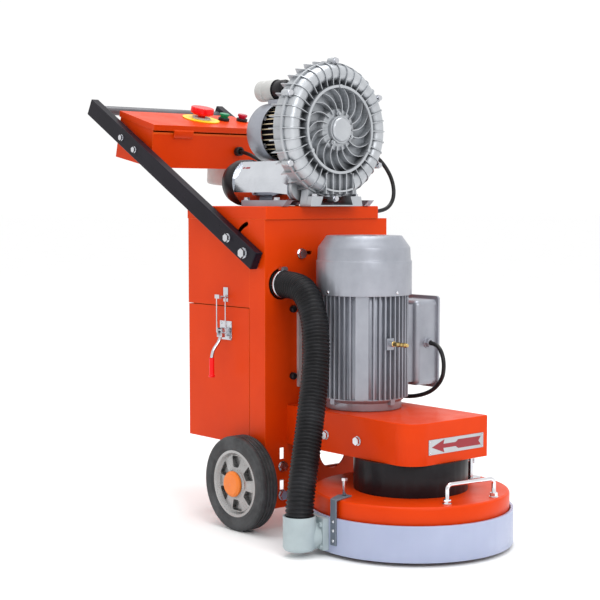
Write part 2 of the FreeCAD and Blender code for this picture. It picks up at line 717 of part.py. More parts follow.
def channel_outlet():
    """Flat ribbed face that interrupts the side channel at the bottom."""
    y0, y1, _ = CASING_Y
    low = BLOWER_Z - BLOWER_R
    slats = [block((x - 1.2, x + 1.2), (y0 + 3, y0 + 14), (low + 3, BLOWER_Z - RING_R + 2))
             for x in (-OUTLET_HALF + 1, -21, 0, 21, OUTLET_HALF - 1)]
    lip = tube((0, y0 + 3, BLOWER_Z), Y_DIR, 146, 142, 12)
    lip = lip.common(block((-OUTLET_HALF, OUTLET_HALF), (y0, y1), (low, BLOWER_Z - 120)))
    face = block((-OUTLET_HALF, OUTLET_HALF), (y0 + 13, y1), (low + 3, BLOWER_Z - RING_R))
    return [face, *slats, lip]


def blower_front_casing():
    """Front half: ribbed side channel round a thin ring, with swept vanes and the bearing cap inside."""
    y0, y1, _ = CASING_Y
    slot = block((-OUTLET_HALF, OUTLET_HALF), (y0 - 5, y0 + 13),
                 (BLOWER_Z - FLANGE_R - 5, BLOWER_Z - RING_R))
    ribs = [front_rib(360 / RIB_COUNT * k) for k in range(RIB_COUNT)]
    outer = fused([channel(10), *ribs]).cut(slot)
    plate = rod((0, y1 - 6, BLOWER_Z), Y_DIR, RING_R + 10, 6)
    ring = tube((0, y0, BLOWER_Z), Y_DIR, RING_R, RING_R - RING_WALL, y1 - y0)
    bosses = [about_blower(rod((0, y0 - 2, RING_R - 3), Y_DIR, 4.5, 12), a) for a in (0, 118, 240)]
    vanes = [vane(360 / VANE_COUNT * k) for k in range(VANE_COUNT)]
    return fused([outer, plate, ring, *bosses, *vanes, *casing_hub(), *channel_outlet(),
                  *lugs(y1 - 10, y1)])


def blower_leg(side):
    """Splayed leg under one side of the casing, whose foot reaches forwards under its rim."""
    top = LID_Z[1]
    low = [(side * LEG_OUT, top + 4), (side * LEG_OUT, top), (side * 50, top), (side * 50, top + 4)]
    leg = [(side * 40, top + 62), (side * 72, top + 62), *low, (side * 42, top + 30)]
    foot = [(side * 43, top + LEG_FOOT_H), (side * 77, top + LEG_FOOT_H), *low]
    joint = CASING_Y[1]
    return [profile(leg, (joint, LEG_Y[1]), "xz"), profile(foot, (LEG_Y[0], joint), "xz")]


def blower_rear_casing():
    """Rear half: impeller chamber, bolt ears, axial ribs, the two pipes, and the feet on a sole plate."""
    _, y1, y2 = CASING_Y
    bore = BLOWER_SHAFT_R + RUN_FIT
    body = turned([(CHAMBER_R, y1), (FLANGE_R, y1), (FLANGE_R, y1 + 4), (BLOWER_R, y1 + 4),
                   (BLOWER_R, y2 - 6), (BLOWER_R - 8, y2), (bore, y2), (bore, y2 - 10),
                   (CHAMBER_R, y2 - 10)], (0, 0, BLOWER_Z), Y_DIR)
    outline = [(y1, BLOWER_R - 5), (y1, FLANGE_R), (y2 - 6, REAR_RIB_R), (y2, REAR_RIB_R),
               (y2, BLOWER_R - 12)]
    ribs = [about_blower(profile(outline, (-RIB_W / 2, RIB_W / 2), "yz"), 360 / RIB_COUNT * k)
            for k in range(RIB_COUNT)]
    pipes = [rod((side * SILENCER_X, y2 - 8, PIPE_Z), Y_DIR, PIPE_R, SILENCER_Y[0] - y2 + 8)
             for side in (-1, 1)]
    sole = block((-LEG_OUT, LEG_OUT), LEG_Y, (LID_Z[1], LID_Z[1] + 3))
    legs = blower_leg(-1) + blower_leg(1)
    return fused([body, *ribs, *lugs(y1, y1 + 12), *pipes, sole, *legs])


def blower_impeller():
    """Bladed wheel on the blower motor's shaft, with the motor's cooling fan at its far end."""
    front = CASING_Y[1] + 4
    depth = 22
    disc = rod((0, front + 4, BLOWER_Z), Y_DIR, 70, 8)
    ring = tube((0, front, BLOWER_Z), Y_DIR, CHAMBER_R - 3, 66, depth)
    hub = rod((0, front, BLOWER_Z), Y_DIR, 20, depth)
    shaft = rod((0, front, BLOWER_Z), Y_DIR, BLOWER_SHAFT_R, 492 - front)
    fan_hub = rod((0, 478, BLOWER_Z), Y_DIR, 20, 14)
    blades = [about_blower(block((-1.5, 1.5), (479, 491), (12, 58)), 60 * k) for k in range(6)]
    pockets = [about_blower(block((-4, 4), (front - 1, front + 10), (73, 90)), 15 * k) for k in range(24)]
    return fused([disc, ring, hub, shaft, fan_hub, *blades]).cut(Part.makeCompound(pockets))


def blower_motor_frame():
    """Finned motor body between the rear casing and the cowl."""
    y0, y1 = CASING_Y[2], BLOWER_MOTOR_END
    body = rod((0, y0, BLOWER_Z), Y_DIR, BLOWER_MOTOR_R - 7, y1 - y0)
    fins = [about_blower(block((-1.4, 1.4), (y0, y1), (40, BLOWER_MOTOR_R)), 12 * k) for k in range(30)]
    box = block((40, 86), (y0 + 60, 430), (BLOWER_Z - 34, BLOWER_Z + 22))
    shaft = rod((0, y0 - 5, BLOWER_Z), Y_DIR, BLOWER_SHAFT_R + RUN_FIT, y1)
    return fused([body, *fins, box]).cut(shaft)


def blower_motor_cowl():
    """Fan cowl on four blocks that sit on the motor's fins, with the capacitor's cradle on top."""
    y0, y1 = BLOWER_COWL_Y
    r, wall = BLOWER_COWL_R, 2
    outline = [(r - wall, y0), (r, y0), (r, y1 - 14), (r - 5, y1 - 5), (r - 14, y1), (22, y1),
               (22, y1 - wall), (r - 15, y1 - wall), (r - 6, y1 - 7), (r - wall, y1 - 15)]
    shell = turned(outline, (0, 0, BLOWER_Z), Y_DIR)
    grips = [about_blower(block((-5, 5), (y0 + 2, y0 + 16), (BLOWER_MOTOR_R, r - 1)), angle)
             for angle in (60, 120, 240, 300)]
    cradle = block((-16, 16), (y0 + 2, y0 + 42), (BLOWER_Z + r - 4, BLOWER_Z + r + 8))
    cradle = cradle.cut(rod((0, y0, BLOWER_Z), Y_DIR, r - 1, 120))
    cradle = cradle.cut(rod((0, y0, capacitor_z()), Y_DIR, CAPACITOR_R, 160))
    return fused([shell, cradle, *grips])


def capacitor_z():
    return BLOWER_Z + BLOWER_COWL_R + CAPACITOR_R + 6


def blower_capacitor():
    """Run capacitor in its white can, with a rubber boot over its terminals."""
    z = capacitor_z()
    r = CAPACITOR_R
    y0, y1, y2 = CAPACITOR_Y
    can = turned([(0, y1), (r, y1), (r, y1 + 32), (r - 1.5, y1 + 34), (r - 1.5, y1 + 38), (r, y1 + 40),
                  (r, y2 - 6), (r - 6, y2), (0, y2)], (0, 0, z), Y_DIR)
    boot = turned([(0, y0), (r - 8, y0), (r - 2, y0 + 6), (r - 2, y1), (0, y1)], (0, 0, z), Y_DIR)
    return Part.makeCompound([can, boot])


def silencer_section(y, scale, z):
    """Eight-sided wire across a silencer."""
    points = [V(dx * scale, y, z + dz * scale) for dx, dz in SILENCER_OUTLINE]
    return Part.makePolygon(points + points[:1])


def silencer(side):
    """Eight-sided metal body that narrows to the blower's pipe, rubber end cap, and its saddle."""
    pipe, y0, y1, y2 = SILENCER_Y
    x, z = side * SILENCER_X, SILENCER_Z
    neck = Part.makeLoft([silencer_section(pipe, 0.64, PIPE_Z), silencer_section(y0, 1, z)], True, True)
    body = Part.Face(silencer_section(y0, 1, z)).extrude(Y_DIR * (y1 - y0))
    room = Part.Face(silencer_section(y0 + 3, 0.94, z)).extrude(Y_DIR * (y1 - y0))
    body = fused([neck, body]).cut(room).cut(rod((0, pipe - 5, PIPE_Z), Y_DIR, PIPE_R - 3, y0 - pipe + 15))
    cap = turned([(0, y2), (38, y2), (50, y2 - 8), (END_CAP_R, y2 - 26), (END_CAP_R, y1), (0, y1)],
                 (0, 0, z), Y_DIR)
    top = LID_Z[1]
    rail = profile([(285, top), (440, top), (440, top + FOOT_Z), (268, top + FOOT_Z)],
                   (side * RAIL_OUT - 9, side * RAIL_OUT + 9), "yz")
    saddle = fused([block((-30, 30), SADDLE_Y, (top, z - 48)),
                    block(sorted((0, side * RAIL_OUT)), SADDLE_Y, (top, top + 3)), rail])
    pieces = [body, cap, saddle]
    for piece in pieces:
        piece.translate(V(x, 0, 0))
    return pieces


def silencers():
    return Part.makeCompound(silencer(-1) + silencer(1))


# ---- cables and hose --------------------------------------------------------------------------
MOTOR_CABLE = [(163, 106, 433), (162, 82, 432), (157, 58, 417), (154, 46, 388), (155, 52, 352),
               (149, 78, 322), (137, 115, 307), (125, 156, 303), (118, 200, 308), (112, 248, 320),
               (109, 297, 327)]
BLOWER_CABLE = [(87, 397, 926), (118, 396, 925), (158, 390, 920), (203, 376, 902), (242, 356, 870),
                (266, 341, 826), (268, 333, 782), (248, 330, 752), (212, 329, 741), (168, 330, 740)]
CONTROL_CABLE = [(101, 757, 899), (101, 728, 895), (105, 692, 882), (114, 654, 859),
                 (124, 620, 833), (133, 592, 808), (138, 573, 787), (140, 564, 769), (140, 561, 751)]
DUST_HOSE = [(-134, 303, 575), (-134, 250, 575), (-138, 203, 563), (-146, 168, 522),
             (-152, 149, 466), (-168, 131, 396), (-195, 112, 325), (-222, 94, 252),
             (-249, 77, 187), (-268, 66, 131), (-275.1, 62, 94), (-275.1, 62, 58)]
CABLE_R = 5.0
GLAND_BORE = 7.5


def power_cables():
    return Part.makeCompound([swept(MOTOR_CABLE, CABLE_R, "motor cable"),
                              swept(BLOWER_CABLE, CABLE_R, "blower cable")])


def control_cable():
    return swept(CONTROL_CABLE, CABLE_R, "control cable")


def dust_hose():
    return swept(DUST_HOSE, HOSE_R, "dust hose")


# ---- floating skirt ---------------------------------------------------------------------------
def radial(shape, angle):
    """Turns a piece that was drawn on the +X side to its place round the head."""
    shape.rotate(V(0, 0, 0), Z_DIR, angle)
    return shape


def skirt_strap(turn):
    """Strap outside the skirt, whose top tab rides on a guide pin."""
    r = SKIRT_R
    z = SHROUD_Z[1] + 0.5
    strap = block((-r - 3, -r), (-9, 9), (28, z + 3))
    strap = strap.cut(rod((0, 0, 0), Z_DIR, r, 200))
    tab = profile([(-r - 3, -9), (-r - 3, 9), (-192, 31), (-174, 25), (-174, 5), (-r, -9)],
                  (z, z + 3), "xy")
    hole = rod((*GUIDE_PIN, z - 5), Z_DIR, GUIDE_PIN_R + 1.2, 20)
    strap = fused([strap, tab]).cut(hole)
    strap.rotate(V(0, 0, 0), Z_DIR, turn)
    return strap


def dust_skirt():
    low, high = SKIRT_Z
    ring = tube((0, 0, low), Z_DIR, SKIRT_R, SKIRT_R - SKIRT_WALL, high - low)
    window = radial(block((200, 250), (-24, 24), (20, 66)), PORT_ANGLE)
    ring = ring.cut(window)
    return Part.makeCompound([ring] + [skirt_strap(turn) for turn in STRAP_TURNS])


def dust_port():
    """Cast elbow: curved flange on the skirt, short throat and upright hose socket."""
    flange = block((SKIRT_R - 4, SKIRT_R + 12), (-33, 33), (14, 84))
    throat = rod((SKIRT_R, 0, 42), X_DIR, 30, PORT_R - SKIRT_R)
    web = block((SKIRT_R + 8, PORT_R), (-4, 4), (42, 82))
    socket = rod((PORT_R, 0, PORT_Z[0]), Z_DIR, SOCKET_R, PORT_Z[1] - PORT_Z[0])
    socket = rounded(socket, 10, lambda m, e: m.z < PORT_Z[0] + 0.1)
    outside = fused([flange, throat, web, socket])
    hollow = [rod((SKIRT_R - 10, 0, 42), X_DIR, 24, PORT_R - SKIRT_R + 10),
              rod((PORT_R, 0, 21), Z_DIR, 24, 90), rod((PORT_R, 0, 54), Z_DIR, HOSE_R + 1.6, 50),
              rod((0, 0, 0), Z_DIR, SKIRT_R, 120)]
    screws = [bolt((SKIRT_R + 12, y, z), X_DIR, 3, 4) for y in (-26, 26) for z in (22, 70)]
    body = fused([outside, *screws])
    for space in hollow:
        body = body.cut(space)
    return radial(body, PORT_ANGLE)


# ---- wheels -----------------------------------------------------------------------------------
def wheel_middle():
    return CAB_X - WHEEL_OUT + WHEEL_W / 2


def tyre():
    """Solid rubber tyre with three grooves round its tread."""
    half, r = WHEEL_W / 2, WHEEL_R
    groove, depth = 1.5, 2.5
    outline = [(RIM_R, -half + 3), (RIM_R + 8, -half), (r - 7, -half), (r - 2, -half + 2),
               (r, -half + 7)]
    for middle in (-9, 0, 9):
        outline += [(r, middle - groove), (r - depth, middle - groove), (r - depth, middle + groove),
                    (r, middle + groove)]
    outline += [(r, half - 7), (r - 2, half - 2), (r - 7, half), (RIM_R + 8, half), (RIM_R, half - 3)]
    return turned(outline, (wheel_middle(), AXLE_Y, WHEEL_R), X_DIR)


def rim():
    """Cast rim with pockets between its spokes on each face."""
    half = WHEEL_W / 2 - 3
    hub_r = AXLE_R + RUN_FIT
    outline = [(hub_r, -half), (29, -half), (33, -half + 4), (66, -half + 9), (72, -half),
               (RIM_R, -half), (RIM_R, half), (72, half), (66, half - 9), (33, half - 4), (29, half),
               (hub_r, half)]
    body = turned(outline, (wheel_middle(), AXLE_Y, WHEEL_R), X_DIR)
    pockets = []
    for k in range(SPOKE_COUNT):
        for side in (-1, 1):
            x = sorted((side * 3.5, side * (half + 2)))
            pocket = profile([(38, -9), (64, -19), (64, 19), (38, 9)], (0, x[1] - x[0]), "xy")
            pocket.Placement = FreeCAD.Placement(V(x[0], 0, 0), FreeCAD.Rotation(Y_DIR, 90))
            pocket = rounded(pocket, 4, lambda m, e: abs(e.Length - (x[1] - x[0])) < 0.1)
            pocket.rotate(V(0, 0, 0), X_DIR, 360 / SPOKE_COUNT * k)
            pockets.append(pocket.translated(V(wheel_middle(), AXLE_Y, WHEEL_R)))
    return body.cut(Part.makeCompound(pockets))


def hub_cap():
    """Snap-on cap over the axle's end."""
    face = CAB_X - WHEEL_OUT
    outline = [(AXLE_R + 1, 3), (CAP_R - 2, 3), (CAP_R, 1), (CAP_R, -4), (CAP_R - 5, -9),
               (0, -10), (0, -6), (AXLE_R + 1, -6)]
    return turned(outline, (face, AXLE_Y, WHEEL_R), X_DIR)


# ---- handle -----------------------------------------------------------------------------------
def along_bar(distance, across=0.0):
    """A (y, z) point on the bar's centre line, from the pivot."""
    a = math.radians(BAR_ANGLE)
    y, z = PIVOT
    return (y + distance * math.cos(a) - across * math.sin(a),
            z + distance * math.sin(a) + across * math.cos(a))


def bar_outline(inset):
    h = BAR_H / 2 - inset
    return [along_bar(BAR_BACK, -h), along_bar(BAR_END, -h), along_bar(BAR_END, h),
            along_bar(BAR_BACK, h)]


def handle_bar():
    wall = 2.5
    outer_x = CAB_X - BAR_IN - BAR_W
    outer = profile(bar_outline(0), (outer_x, outer_x + BAR_W), "yz")
    outer = rounded(outer, 2.5, lambda m, e: abs(m.x - outer_x) < 0.1 or
                    abs(m.x - outer_x - BAR_W) < 0.1)
    inner = profile([along_bar(BAR_BACK + 4, -BAR_H / 2 + wall), along_bar(BAR_END - 4, -BAR_H / 2 + wall),
                     along_bar(BAR_END - 4, BAR_H / 2 - wall), along_bar(BAR_BACK + 4, BAR_H / 2 - wall)],
                    (outer_x + wall, outer_x + BAR_W - wall), "yz")
    bores = [(0, PIVOT_R), (SLOT_R, LOCK_R)] + [(d, BOX_BOLT_R) for d in BOX_BOLTS_AT]
    holes = [rod((outer_x - 1, *along_bar(d)), X_DIR, r, BAR_W + 2) for d, r in bores]
    holes.append(rod((outer_x + wall, *along_bar(CROSSBAR_AT)), X_DIR, CROSSBAR_R, BAR_W))
    return outer.cut(inner).cut(Part.makeCompound(holes))


def handle_bars():
    bar = handle_bar()
    return Part.makeCompound([bar, mirrored(bar)])


def handle_crossbar():
    half = BAR_IN + BAR_W - 2.5
    return tube((CAB_X - half, *along_bar(CROSSBAR_AT)), X_DIR, CROSSBAR_R, CROSSBAR_R - 2, 2 * half)


def handle_bolts():
    """Pivot, lock and control-box bolts, with the spacer washers inside the bars."""
    face = CAB_X - BAR_IN - BAR_W
    out = X_DIR * -1
    bolts = []
    for distance, radius in ((0, PIVOT_R), (SLOT_R, LOCK_R)):
        shank = bolt((face, *along_bar(distance)), out, radius, BAR_W + 34)
        nut_at = (face + BAR_W + 8, *along_bar(distance))
        bolts.append(fused([shank, hexagon(nut_at, X_DIR, radius * 3.1, radius * 1.2)]))
    for distance in BOX_BOLTS_AT:
        bolts.append(bolt((face, *along_bar(distance)), out, BOX_BOLT_R, BAR_W + 20))
    return Part.makeCompound(bolts + [mirrored(b) for b in bolts])


def box_slope():
    (y0, z0), (y1, z1) = BOX_FRONT_TOP, BOX_REAR_TOP
    return math.atan2(z1 - z0, y1 - y0)


def control_box():
    """Folded steel box between the bars, open above under its lid."""
    corners = [BOX_FRONT_LOW, BOX_REAR_LOW, BOX_REAR_TOP, BOX_FRONT_TOP]
    drop = LID_RIM - 3
    outer = profile([corners[0], corners[1], lid_point(lid_length() - 2, -drop),
                     lid_point(3, -drop)], (CAB_X - BOX_HALF, CAB_X + BOX_HALF), "yz")
    inner = profile([(corners[0][0] + 2, corners[0][1] + 3), (corners[1][0] - 2.5, corners[1][1] + 2),
                     lid_point(lid_length() - 4.5, 5), lid_point(5.5, 5)],
                    (CAB_X - BOX_HALF + SHEET, CAB_X + BOX_HALF - SHEET), "yz")
    ears = []
    for side in (-1, 1):
        x = sorted((CAB_X + side * BOX_HALF, CAB_X + side * BAR_IN))
        ears += [tube((x[0], *along_bar(d)), X_DIR, 3 * BOX_BOLT_R, BOX_BOLT_R, x[1] - x[0])
                 for d in BOX_BOLTS_AT]
    holes = [rod((CAB_X - BAR_IN, *along_bar(d)), X_DIR, BOX_BOLT_R, 2 * BAR_IN) for d in BOX_BOLTS_AT]
    x, end, z = CONTROL_CABLE[0]
    holes.append(rod((x, end - 20, z), Y_DIR, GLAND_BORE, 50))
    gland = tube((x, end - 8, z), Y_DIR, 12, GLAND_BORE, 18)
    inside = [(corners[0][0] + 0.5, corners[0][1]), (end + 50, corners[0][1]), (end + 50, corners[3][1]),
              (corners[3][0] + 0.5, corners[3][1])]
    gland = gland.cut(profile(inside, (x - 20, x + 20), "yz"))
    return fused([outer.cut(inner), *ears, gland]).cut(Part.makeCompound(holes))


def power_inlet():
    """Shrouded appliance inlet under the control box: the mains lead plugs in from below."""
    x, y = 104, 846
    (y0, z0), (y1, z1) = BOX_FRONT_LOW, BOX_REAR_LOW
    slope = math.atan2(z1 - z0, y1 - y0)
    seat = V(x, y, z0 + (y - y0) * math.tan(slope))
    down = V(0, math.sin(slope), -math.cos(slope))
    shroud = turned([(0, 0), (33, 0), (31, 22), (29, 50), (27, 54), (20, 54), (20, 28), (0, 28)],
                    tuple(seat), down)
    pins = [rod(seat + V(dx, dy, 0) + down * 26, down, 2.5, 20)
            for dx, dy in ((-9, -5), (9, -5), (0, 9))]
    return fused([shroud, *pins])


def on_lid(x, along, above=0.0):
    """A point over the control box's lid: up its slope from the front edge."""
    a = box_slope()
    y, z = BOX_FRONT_TOP
    return V(x, y + along * math.cos(a) - above * math.sin(a),
             z + along * math.sin(a) + above * math.cos(a))


def lid_normal():
    a = box_slope()
    return V(0, -math.sin(a), math.cos(a))


def lid_length():
    return math.hypot(BOX_REAR_TOP[0] - BOX_FRONT_TOP[0], BOX_REAR_TOP[1] - BOX_FRONT_TOP[1])


def lid_point(along, above):
    p = on_lid(0, along, above)
    return p.y, p.z


def control_lid():
    """Overlapping lid, hinged along its rear edge, with a hasp tab on its front."""
    length = lid_length()
    half = BOX_HALF + 1.5
    outer = profile([lid_point(-3, -LID_RIM), lid_point(length + 3, -LID_RIM),
                     lid_point(length + 3, 0), lid_point(-3, 0)], (CAB_X - half, CAB_X + half), "yz")
    inner = profile([lid_point(-1, -LID_RIM - 2), lid_point(length + 1, -LID_RIM - 2),
                     lid_point(length + 1, -2), lid_point(-1, -2)],
                    (CAB_X - half + 1.2, CAB_X + half - 1.2), "yz")
    hinge = rod((CAB_X - 120, *lid_point(length + 7, -LID_RIM + 2)), X_DIR, 4, 240)
    leaf = profile([lid_point(length + 2, -LID_RIM), lid_point(length + 8, -LID_RIM),
                    lid_point(length + 8, -LID_RIM + 3), lid_point(length + 2, -LID_RIM + 3)],
                   (CAB_X - 120, CAB_X + 120), "yz")
    hasp = profile([lid_point(-6, -LID_RIM - 17), lid_point(-2.5, -LID_RIM - 17),
                    lid_point(-2.5, -LID_RIM + 4), lid_point(-6, -LID_RIM + 1)], (-110, -50), "yz")
    holes = [rod(on_lid(x, SWITCH_AT, -10), lid_normal(), SWITCH_HOLE_R, 20)
             for x in (ESTOP_X, START_X, STOP_X)]
    return fused([outer.cut(inner), hinge, leaf, hasp]).cut(Part.makeCompound(holes))


def switch_bezels():
    """Round legend plate and collar of the stop switch, and the two push-button bezels."""
    n = lid_normal()
    plate = tube(on_lid(ESTOP_X, SWITCH_AT), n, 50, SWITCH_HOLE_R, 3)
    collar = tube(on_lid(ESTOP_X, SWITCH_AT, 3), n, 25, SWITCH_HOLE_R, 4)
    rings = [fused([plate, collar])]
    for x in (START_X, STOP_X):
        rings.append(tube(on_lid(x, SWITCH_AT), n, BUTTON_R + 2, SWITCH_HOLE_R, 8))
    return Part.makeCompound(rings)


def estop_button():
    n = lid_normal()
    stem = rod(on_lid(ESTOP_X, SWITCH_AT, -8), n, STEM_R, 24)
    throat = rod(on_lid(ESTOP_X, SWITCH_AT, 13), n, 23, 4)
    head = rod(on_lid(ESTOP_X, SWITCH_AT, 16), n, ESTOP_R, 17)
    return fused([stem, throat, rounded(head, 3, lambda m, e: True)])


def push_button(x):
    """Stem through the lid with a broad cap, whose underside clears the bezel by the button's travel."""
    n = lid_normal()
    cap = rounded(rod(on_lid(x, SWITCH_AT, 12.5), n, BUTTON_R, 7), 1.5, lambda m, e: e.Closed)
    return fused([rod(on_lid(x, SWITCH_AT, -6), n, STEM_R, 20), cap])


# ---- dust bin and latches ---------------------------------------------------------------------
def dust_bin():
    """Lower cabinet box, drawn out to the rear, with a pull grip on its back."""
    left, right = cabinet_sides()
    outer = block((left, right), (COLUMN_Y + 2, CAB_Y[1]), (CAB_Z[0], SEAM_Z - 1))
    inner = block((left + SHEET, right - SHEET), (COLUMN_Y + 2 + SHEET, CAB_Y[1] - SHEET),
                  (CAB_Z[0] + SHEET, SEAM_Z + 5))
    outer = rounded(outer, 3, lambda m, e: upright(e) and m.y > 500)
    relief = block((left - 5, right + 5), (COLUMN_Y, COLUMN_Y + 25), (CAB_Z[0] - 1, CAB_Z[0] - 0.5))
    grip = fused([block((CAB_X - 60, CAB_X - 52), (CAB_Y[1], CAB_Y[1] + 30), (400, 412)),
                  block((CAB_X + 52, CAB_X + 60), (CAB_Y[1], CAB_Y[1] + 30), (400, 412)),
                  block((CAB_X - 60, CAB_X + 60), (CAB_Y[1] + 22, CAB_Y[1] + 30), (400, 412))])
    return fused([outer.cut(inner).cut(relief), grip])


def latch_base():
    """Plate on the bin, with the two ears that carry the lever."""
    wall = CAB_X - CAB_HALF
    out, z = LATCH_PIVOT
    plate = block((wall - 2, wall), (LATCH_Y - 23, LATCH_Y + 23), (437, 482))
    ears = [block((wall - out - 5, wall - 1), (y, y + 2), (z - 9, z + 6))
            for y in (LATCH_Y - 7, LATCH_Y + 5)]
    rivets = [rod((wall - 3.5, LATCH_Y + dy, z + dz), X_DIR, 3, 2) for dy in (-18, 18) for dz in (-17, 16)]
    pin_hole = rod((wall - out, LATCH_Y - 20, z), Y_DIR, 2 + RUN_FIT, 40)
    return fused([plate, *ears, *rivets]).cut(pin_hole)


def latch_bases():
    base = latch_base()
    return Part.makeCompound([base, mirrored(base)])


def latch_lever():
    """Over-centre lever with its pin and its dipped grip."""
    wall = CAB_X - CAB_HALF
    out, z = LATCH_PIVOT
    x = wall - out
    cheeks = [block((x - 5, x + 5), (y, y + 2), (z - 16, z + 5)) for y in (LATCH_Y - 10, LATCH_Y + 8)]
    holes = [rod((x, LATCH_Y - 20, z - BAIL_DROP), Y_DIR, WIRE_R + 0.08, 40)]
    bridge = block((x - 5, x + 3), (LATCH_Y - 10, LATCH_Y + 10), (z - 16, z - 12))
    pin = rod((x, LATCH_Y - 11, z), Y_DIR, 2, 22)
    neck = swept([(x - 1, LATCH_Y, z - 13), (x - 6, LATCH_Y, z - 27), (x - 23, LATCH_Y, z - 45),
                  (x - GRIP_OUT, LATCH_Y, z - 64)], 4.2, "latch neck")
    lever = fused([*cheeks, bridge, neck]).cut(Part.makeCompound(holes))
    lever = fused([lever, pin])
    grip = turned([(0, 0), (6, 0), (6, 40), (8, 42), (8, 44), (6.5, 46), (0, 46)],
                  (x - GRIP_OUT, LATCH_Y, z - 64), Z_DIR * -1)
    return Part.makeCompound([lever, grip.cut(lever)])


def latch_bail():
    """Wire loop from the lever up to the keeper."""
    wall = CAB_X - CAB_HALF
    out, z = LATCH_PIVOT
    x, low, top = wall - out, z - BAIL_DROP, BAIL_TOP
    half = BAIL_HALF
    bars = [rod((x, LATCH_Y - half, top), Y_DIR, WIRE_R, 2 * half)]
    for side in (-1, 1):
        bars.append(rod((x, LATCH_Y + side * half, low), Z_DIR, WIRE_R, top - low))
        bars.append(rod((x, LATCH_Y + side * 7.6, low), Y_DIR * side, WIRE_R, half - 7.6))
        for end in (low, top):
            bars.append(Part.makeSphere(WIRE_R, V(x, LATCH_Y + side * half, end)))
    return fused(bars)


# ---- fasteners --------------------------------------------------------------------------------
def knob(x, z):
    """Rubber-headed screw through the column's front plate."""
    front = CAB_Y[0]
    head = turned([(0, 11), (6, 11), (8.5, 8), (8.5, 0), (0, 0)], (x, front, z), Y_DIR * -1)
    return fused([head, rod((x, front, z), Y_DIR, 4, 12)])


def casing_bolts():
    front = CASING_Y[1] - 10
    circle = [math.radians(90 + 360 / LUG_COUNT * k) for k in range(LUG_COUNT)]
    return [bolt((LUG_AT * math.cos(a), front, BLOWER_Z + LUG_AT * math.sin(a)), Y_DIR * -1, 3.5, 20)
            for a in circle]


def frame_fasteners():
    """Cabinet, housing, foot and blower bolts, and the pins that guide the floating skirt."""
    front = CAB_Y[0]
    out = Y_DIR * -1
    bolts = [bolt((-73, front, 644), out, 6, 12), *casing_bolts()]
    bolts += [knob(KNOB_X, z) for z in KNOB_Z]
    bolts.append(block((KNOB_X + 14, KNOB_X + 24), (front - 8, front), (KNOB_Z[0] - 26, KNOB_Z[1] - 8)))
    for side, wall in zip((-1, 1), HOUSING_X):
        x = CAB_X + side * LEG_BOLT_X
        bolts.append(bolt((x, front, 146), out, 6, 12))
        bolts.append(bolt((x, front, 78), out, 6, 12))
        for y in HOUSING_BOLTS_Y:
            bolts.append(bolt((wall, y, 236), X_DIR * side, 5, 12))
        for y in RAIL_BOLTS_Y:
            at = (side * (SILENCER_X + RAIL_OUT), y, LID_Z[1] + FOOT_Z)
            bolts.append(bolt(at, Z_DIR, 4, 22))
        bolts.append(bolt((side * 65, 257, LID_Z[1] + LEG_FOOT_H), Z_DIR, 3.5, LEG_FOOT_H - 1))
    for turn in STRAP_TURNS:
        x, y = around(*GUIDE_PIN, turn)
        z = SHROUD_Z[1]
        pin = rod((x, y, z - 8), Z_DIR, GUIDE_PIN_R, 44)
        bolts.append(fused([pin, hexagon((x, y, z + 36), Z_DIR, 13, 6)]))
    return Part.makeCompound(bolts)


def placed_parts():
    """Every piece by name. Bolts and cables cut their own holes in the sheets that they pass."""
    bolts = frame_fasteners()
    cables = power_cables()
    return {
        "front_frame": front_frame().cut(bolts).cut(cables), "filter_housing": filter_housing(),
        "cabinet_lid": cabinet_lid().cut(bolts), "filter_cartridge": filter_cartridge(),
        "wheel_axle": wheel_axle(), "belt_housing": belt_housing().cut(bolts), "drive_belts": drive_belts(),
        "bearing_housing": bearing_housing(), "spindle_bearings": spindle_bearings(),
        "rubber_collar": rubber_collar(), "head_shroud": head_shroud(),
        "shroud_handle": shroud_handle(), "head_tie_link": head_tie_link(),
        "direction_plate": direction_plate(), "motor_frame": motor_frame(),
        "motor_cowl": motor_cowl(), "terminal_box": terminal_box(), "power_cables": cables,
        "brass_barb": brass_barb(), "blower_front_casing": blower_front_casing().cut(bolts),
        "blower_rear_casing": blower_rear_casing().cut(bolts), "blower_motor_frame": blower_motor_frame(),
        "blower_motor_cowl": blower_motor_cowl(), "silencers": silencers().cut(bolts),
        "blower_capacitor": blower_capacitor(), "control_cable": control_cable(),
        "dust_hose": dust_hose(), "frame_fasteners": bolts,
        "latch_keepers": latch_keepers(),
        "tyre_left": tyre(), "rim_left": rim(), "hub_cap_left": hub_cap(),
        "tyre_right": mirrored(tyre()), "rim_right": mirrored(rim()),
        "hub_cap_right": mirrored(hub_cap()),
        "handle_bars": handle_bars(), "handle_crossbar": handle_crossbar(),
        "handle_bolts": handle_bolts(), "control_box": control_box(), "power_inlet": power_inlet(),
        "control_lid": control_lid(), "switch_bezels": switch_bezels(),
        "estop_button": estop_button(), "start_button": push_button(START_X),
        "stop_button": push_button(STOP_X),
        "dust_bin": dust_bin(), "latch_bases": latch_bases(),
        "latch_lever_left": latch_lever(), "latch_lever_right": mirrored(latch_lever()),
        "latch_bail_left": latch_bail(), "latch_bail_right": mirrored(latch_bail()),
        "spindle_shaft": spindle_shaft(), "drive_plate": drive_plate(),
        "diamond_shoes": diamond_shoes(), "spindle_pulley": pulley(PITCH_SPINDLE, 0, SPINDLE_R),
        "motor_rotor": motor_rotor(), "motor_pulley": pulley(PITCH_MOTOR, MOTOR_Y, MOTOR_SHAFT_R),
        "blower_impeller": blower_impeller(), "dust_skirt": dust_skirt(), "dust_port": dust_port(),
    }


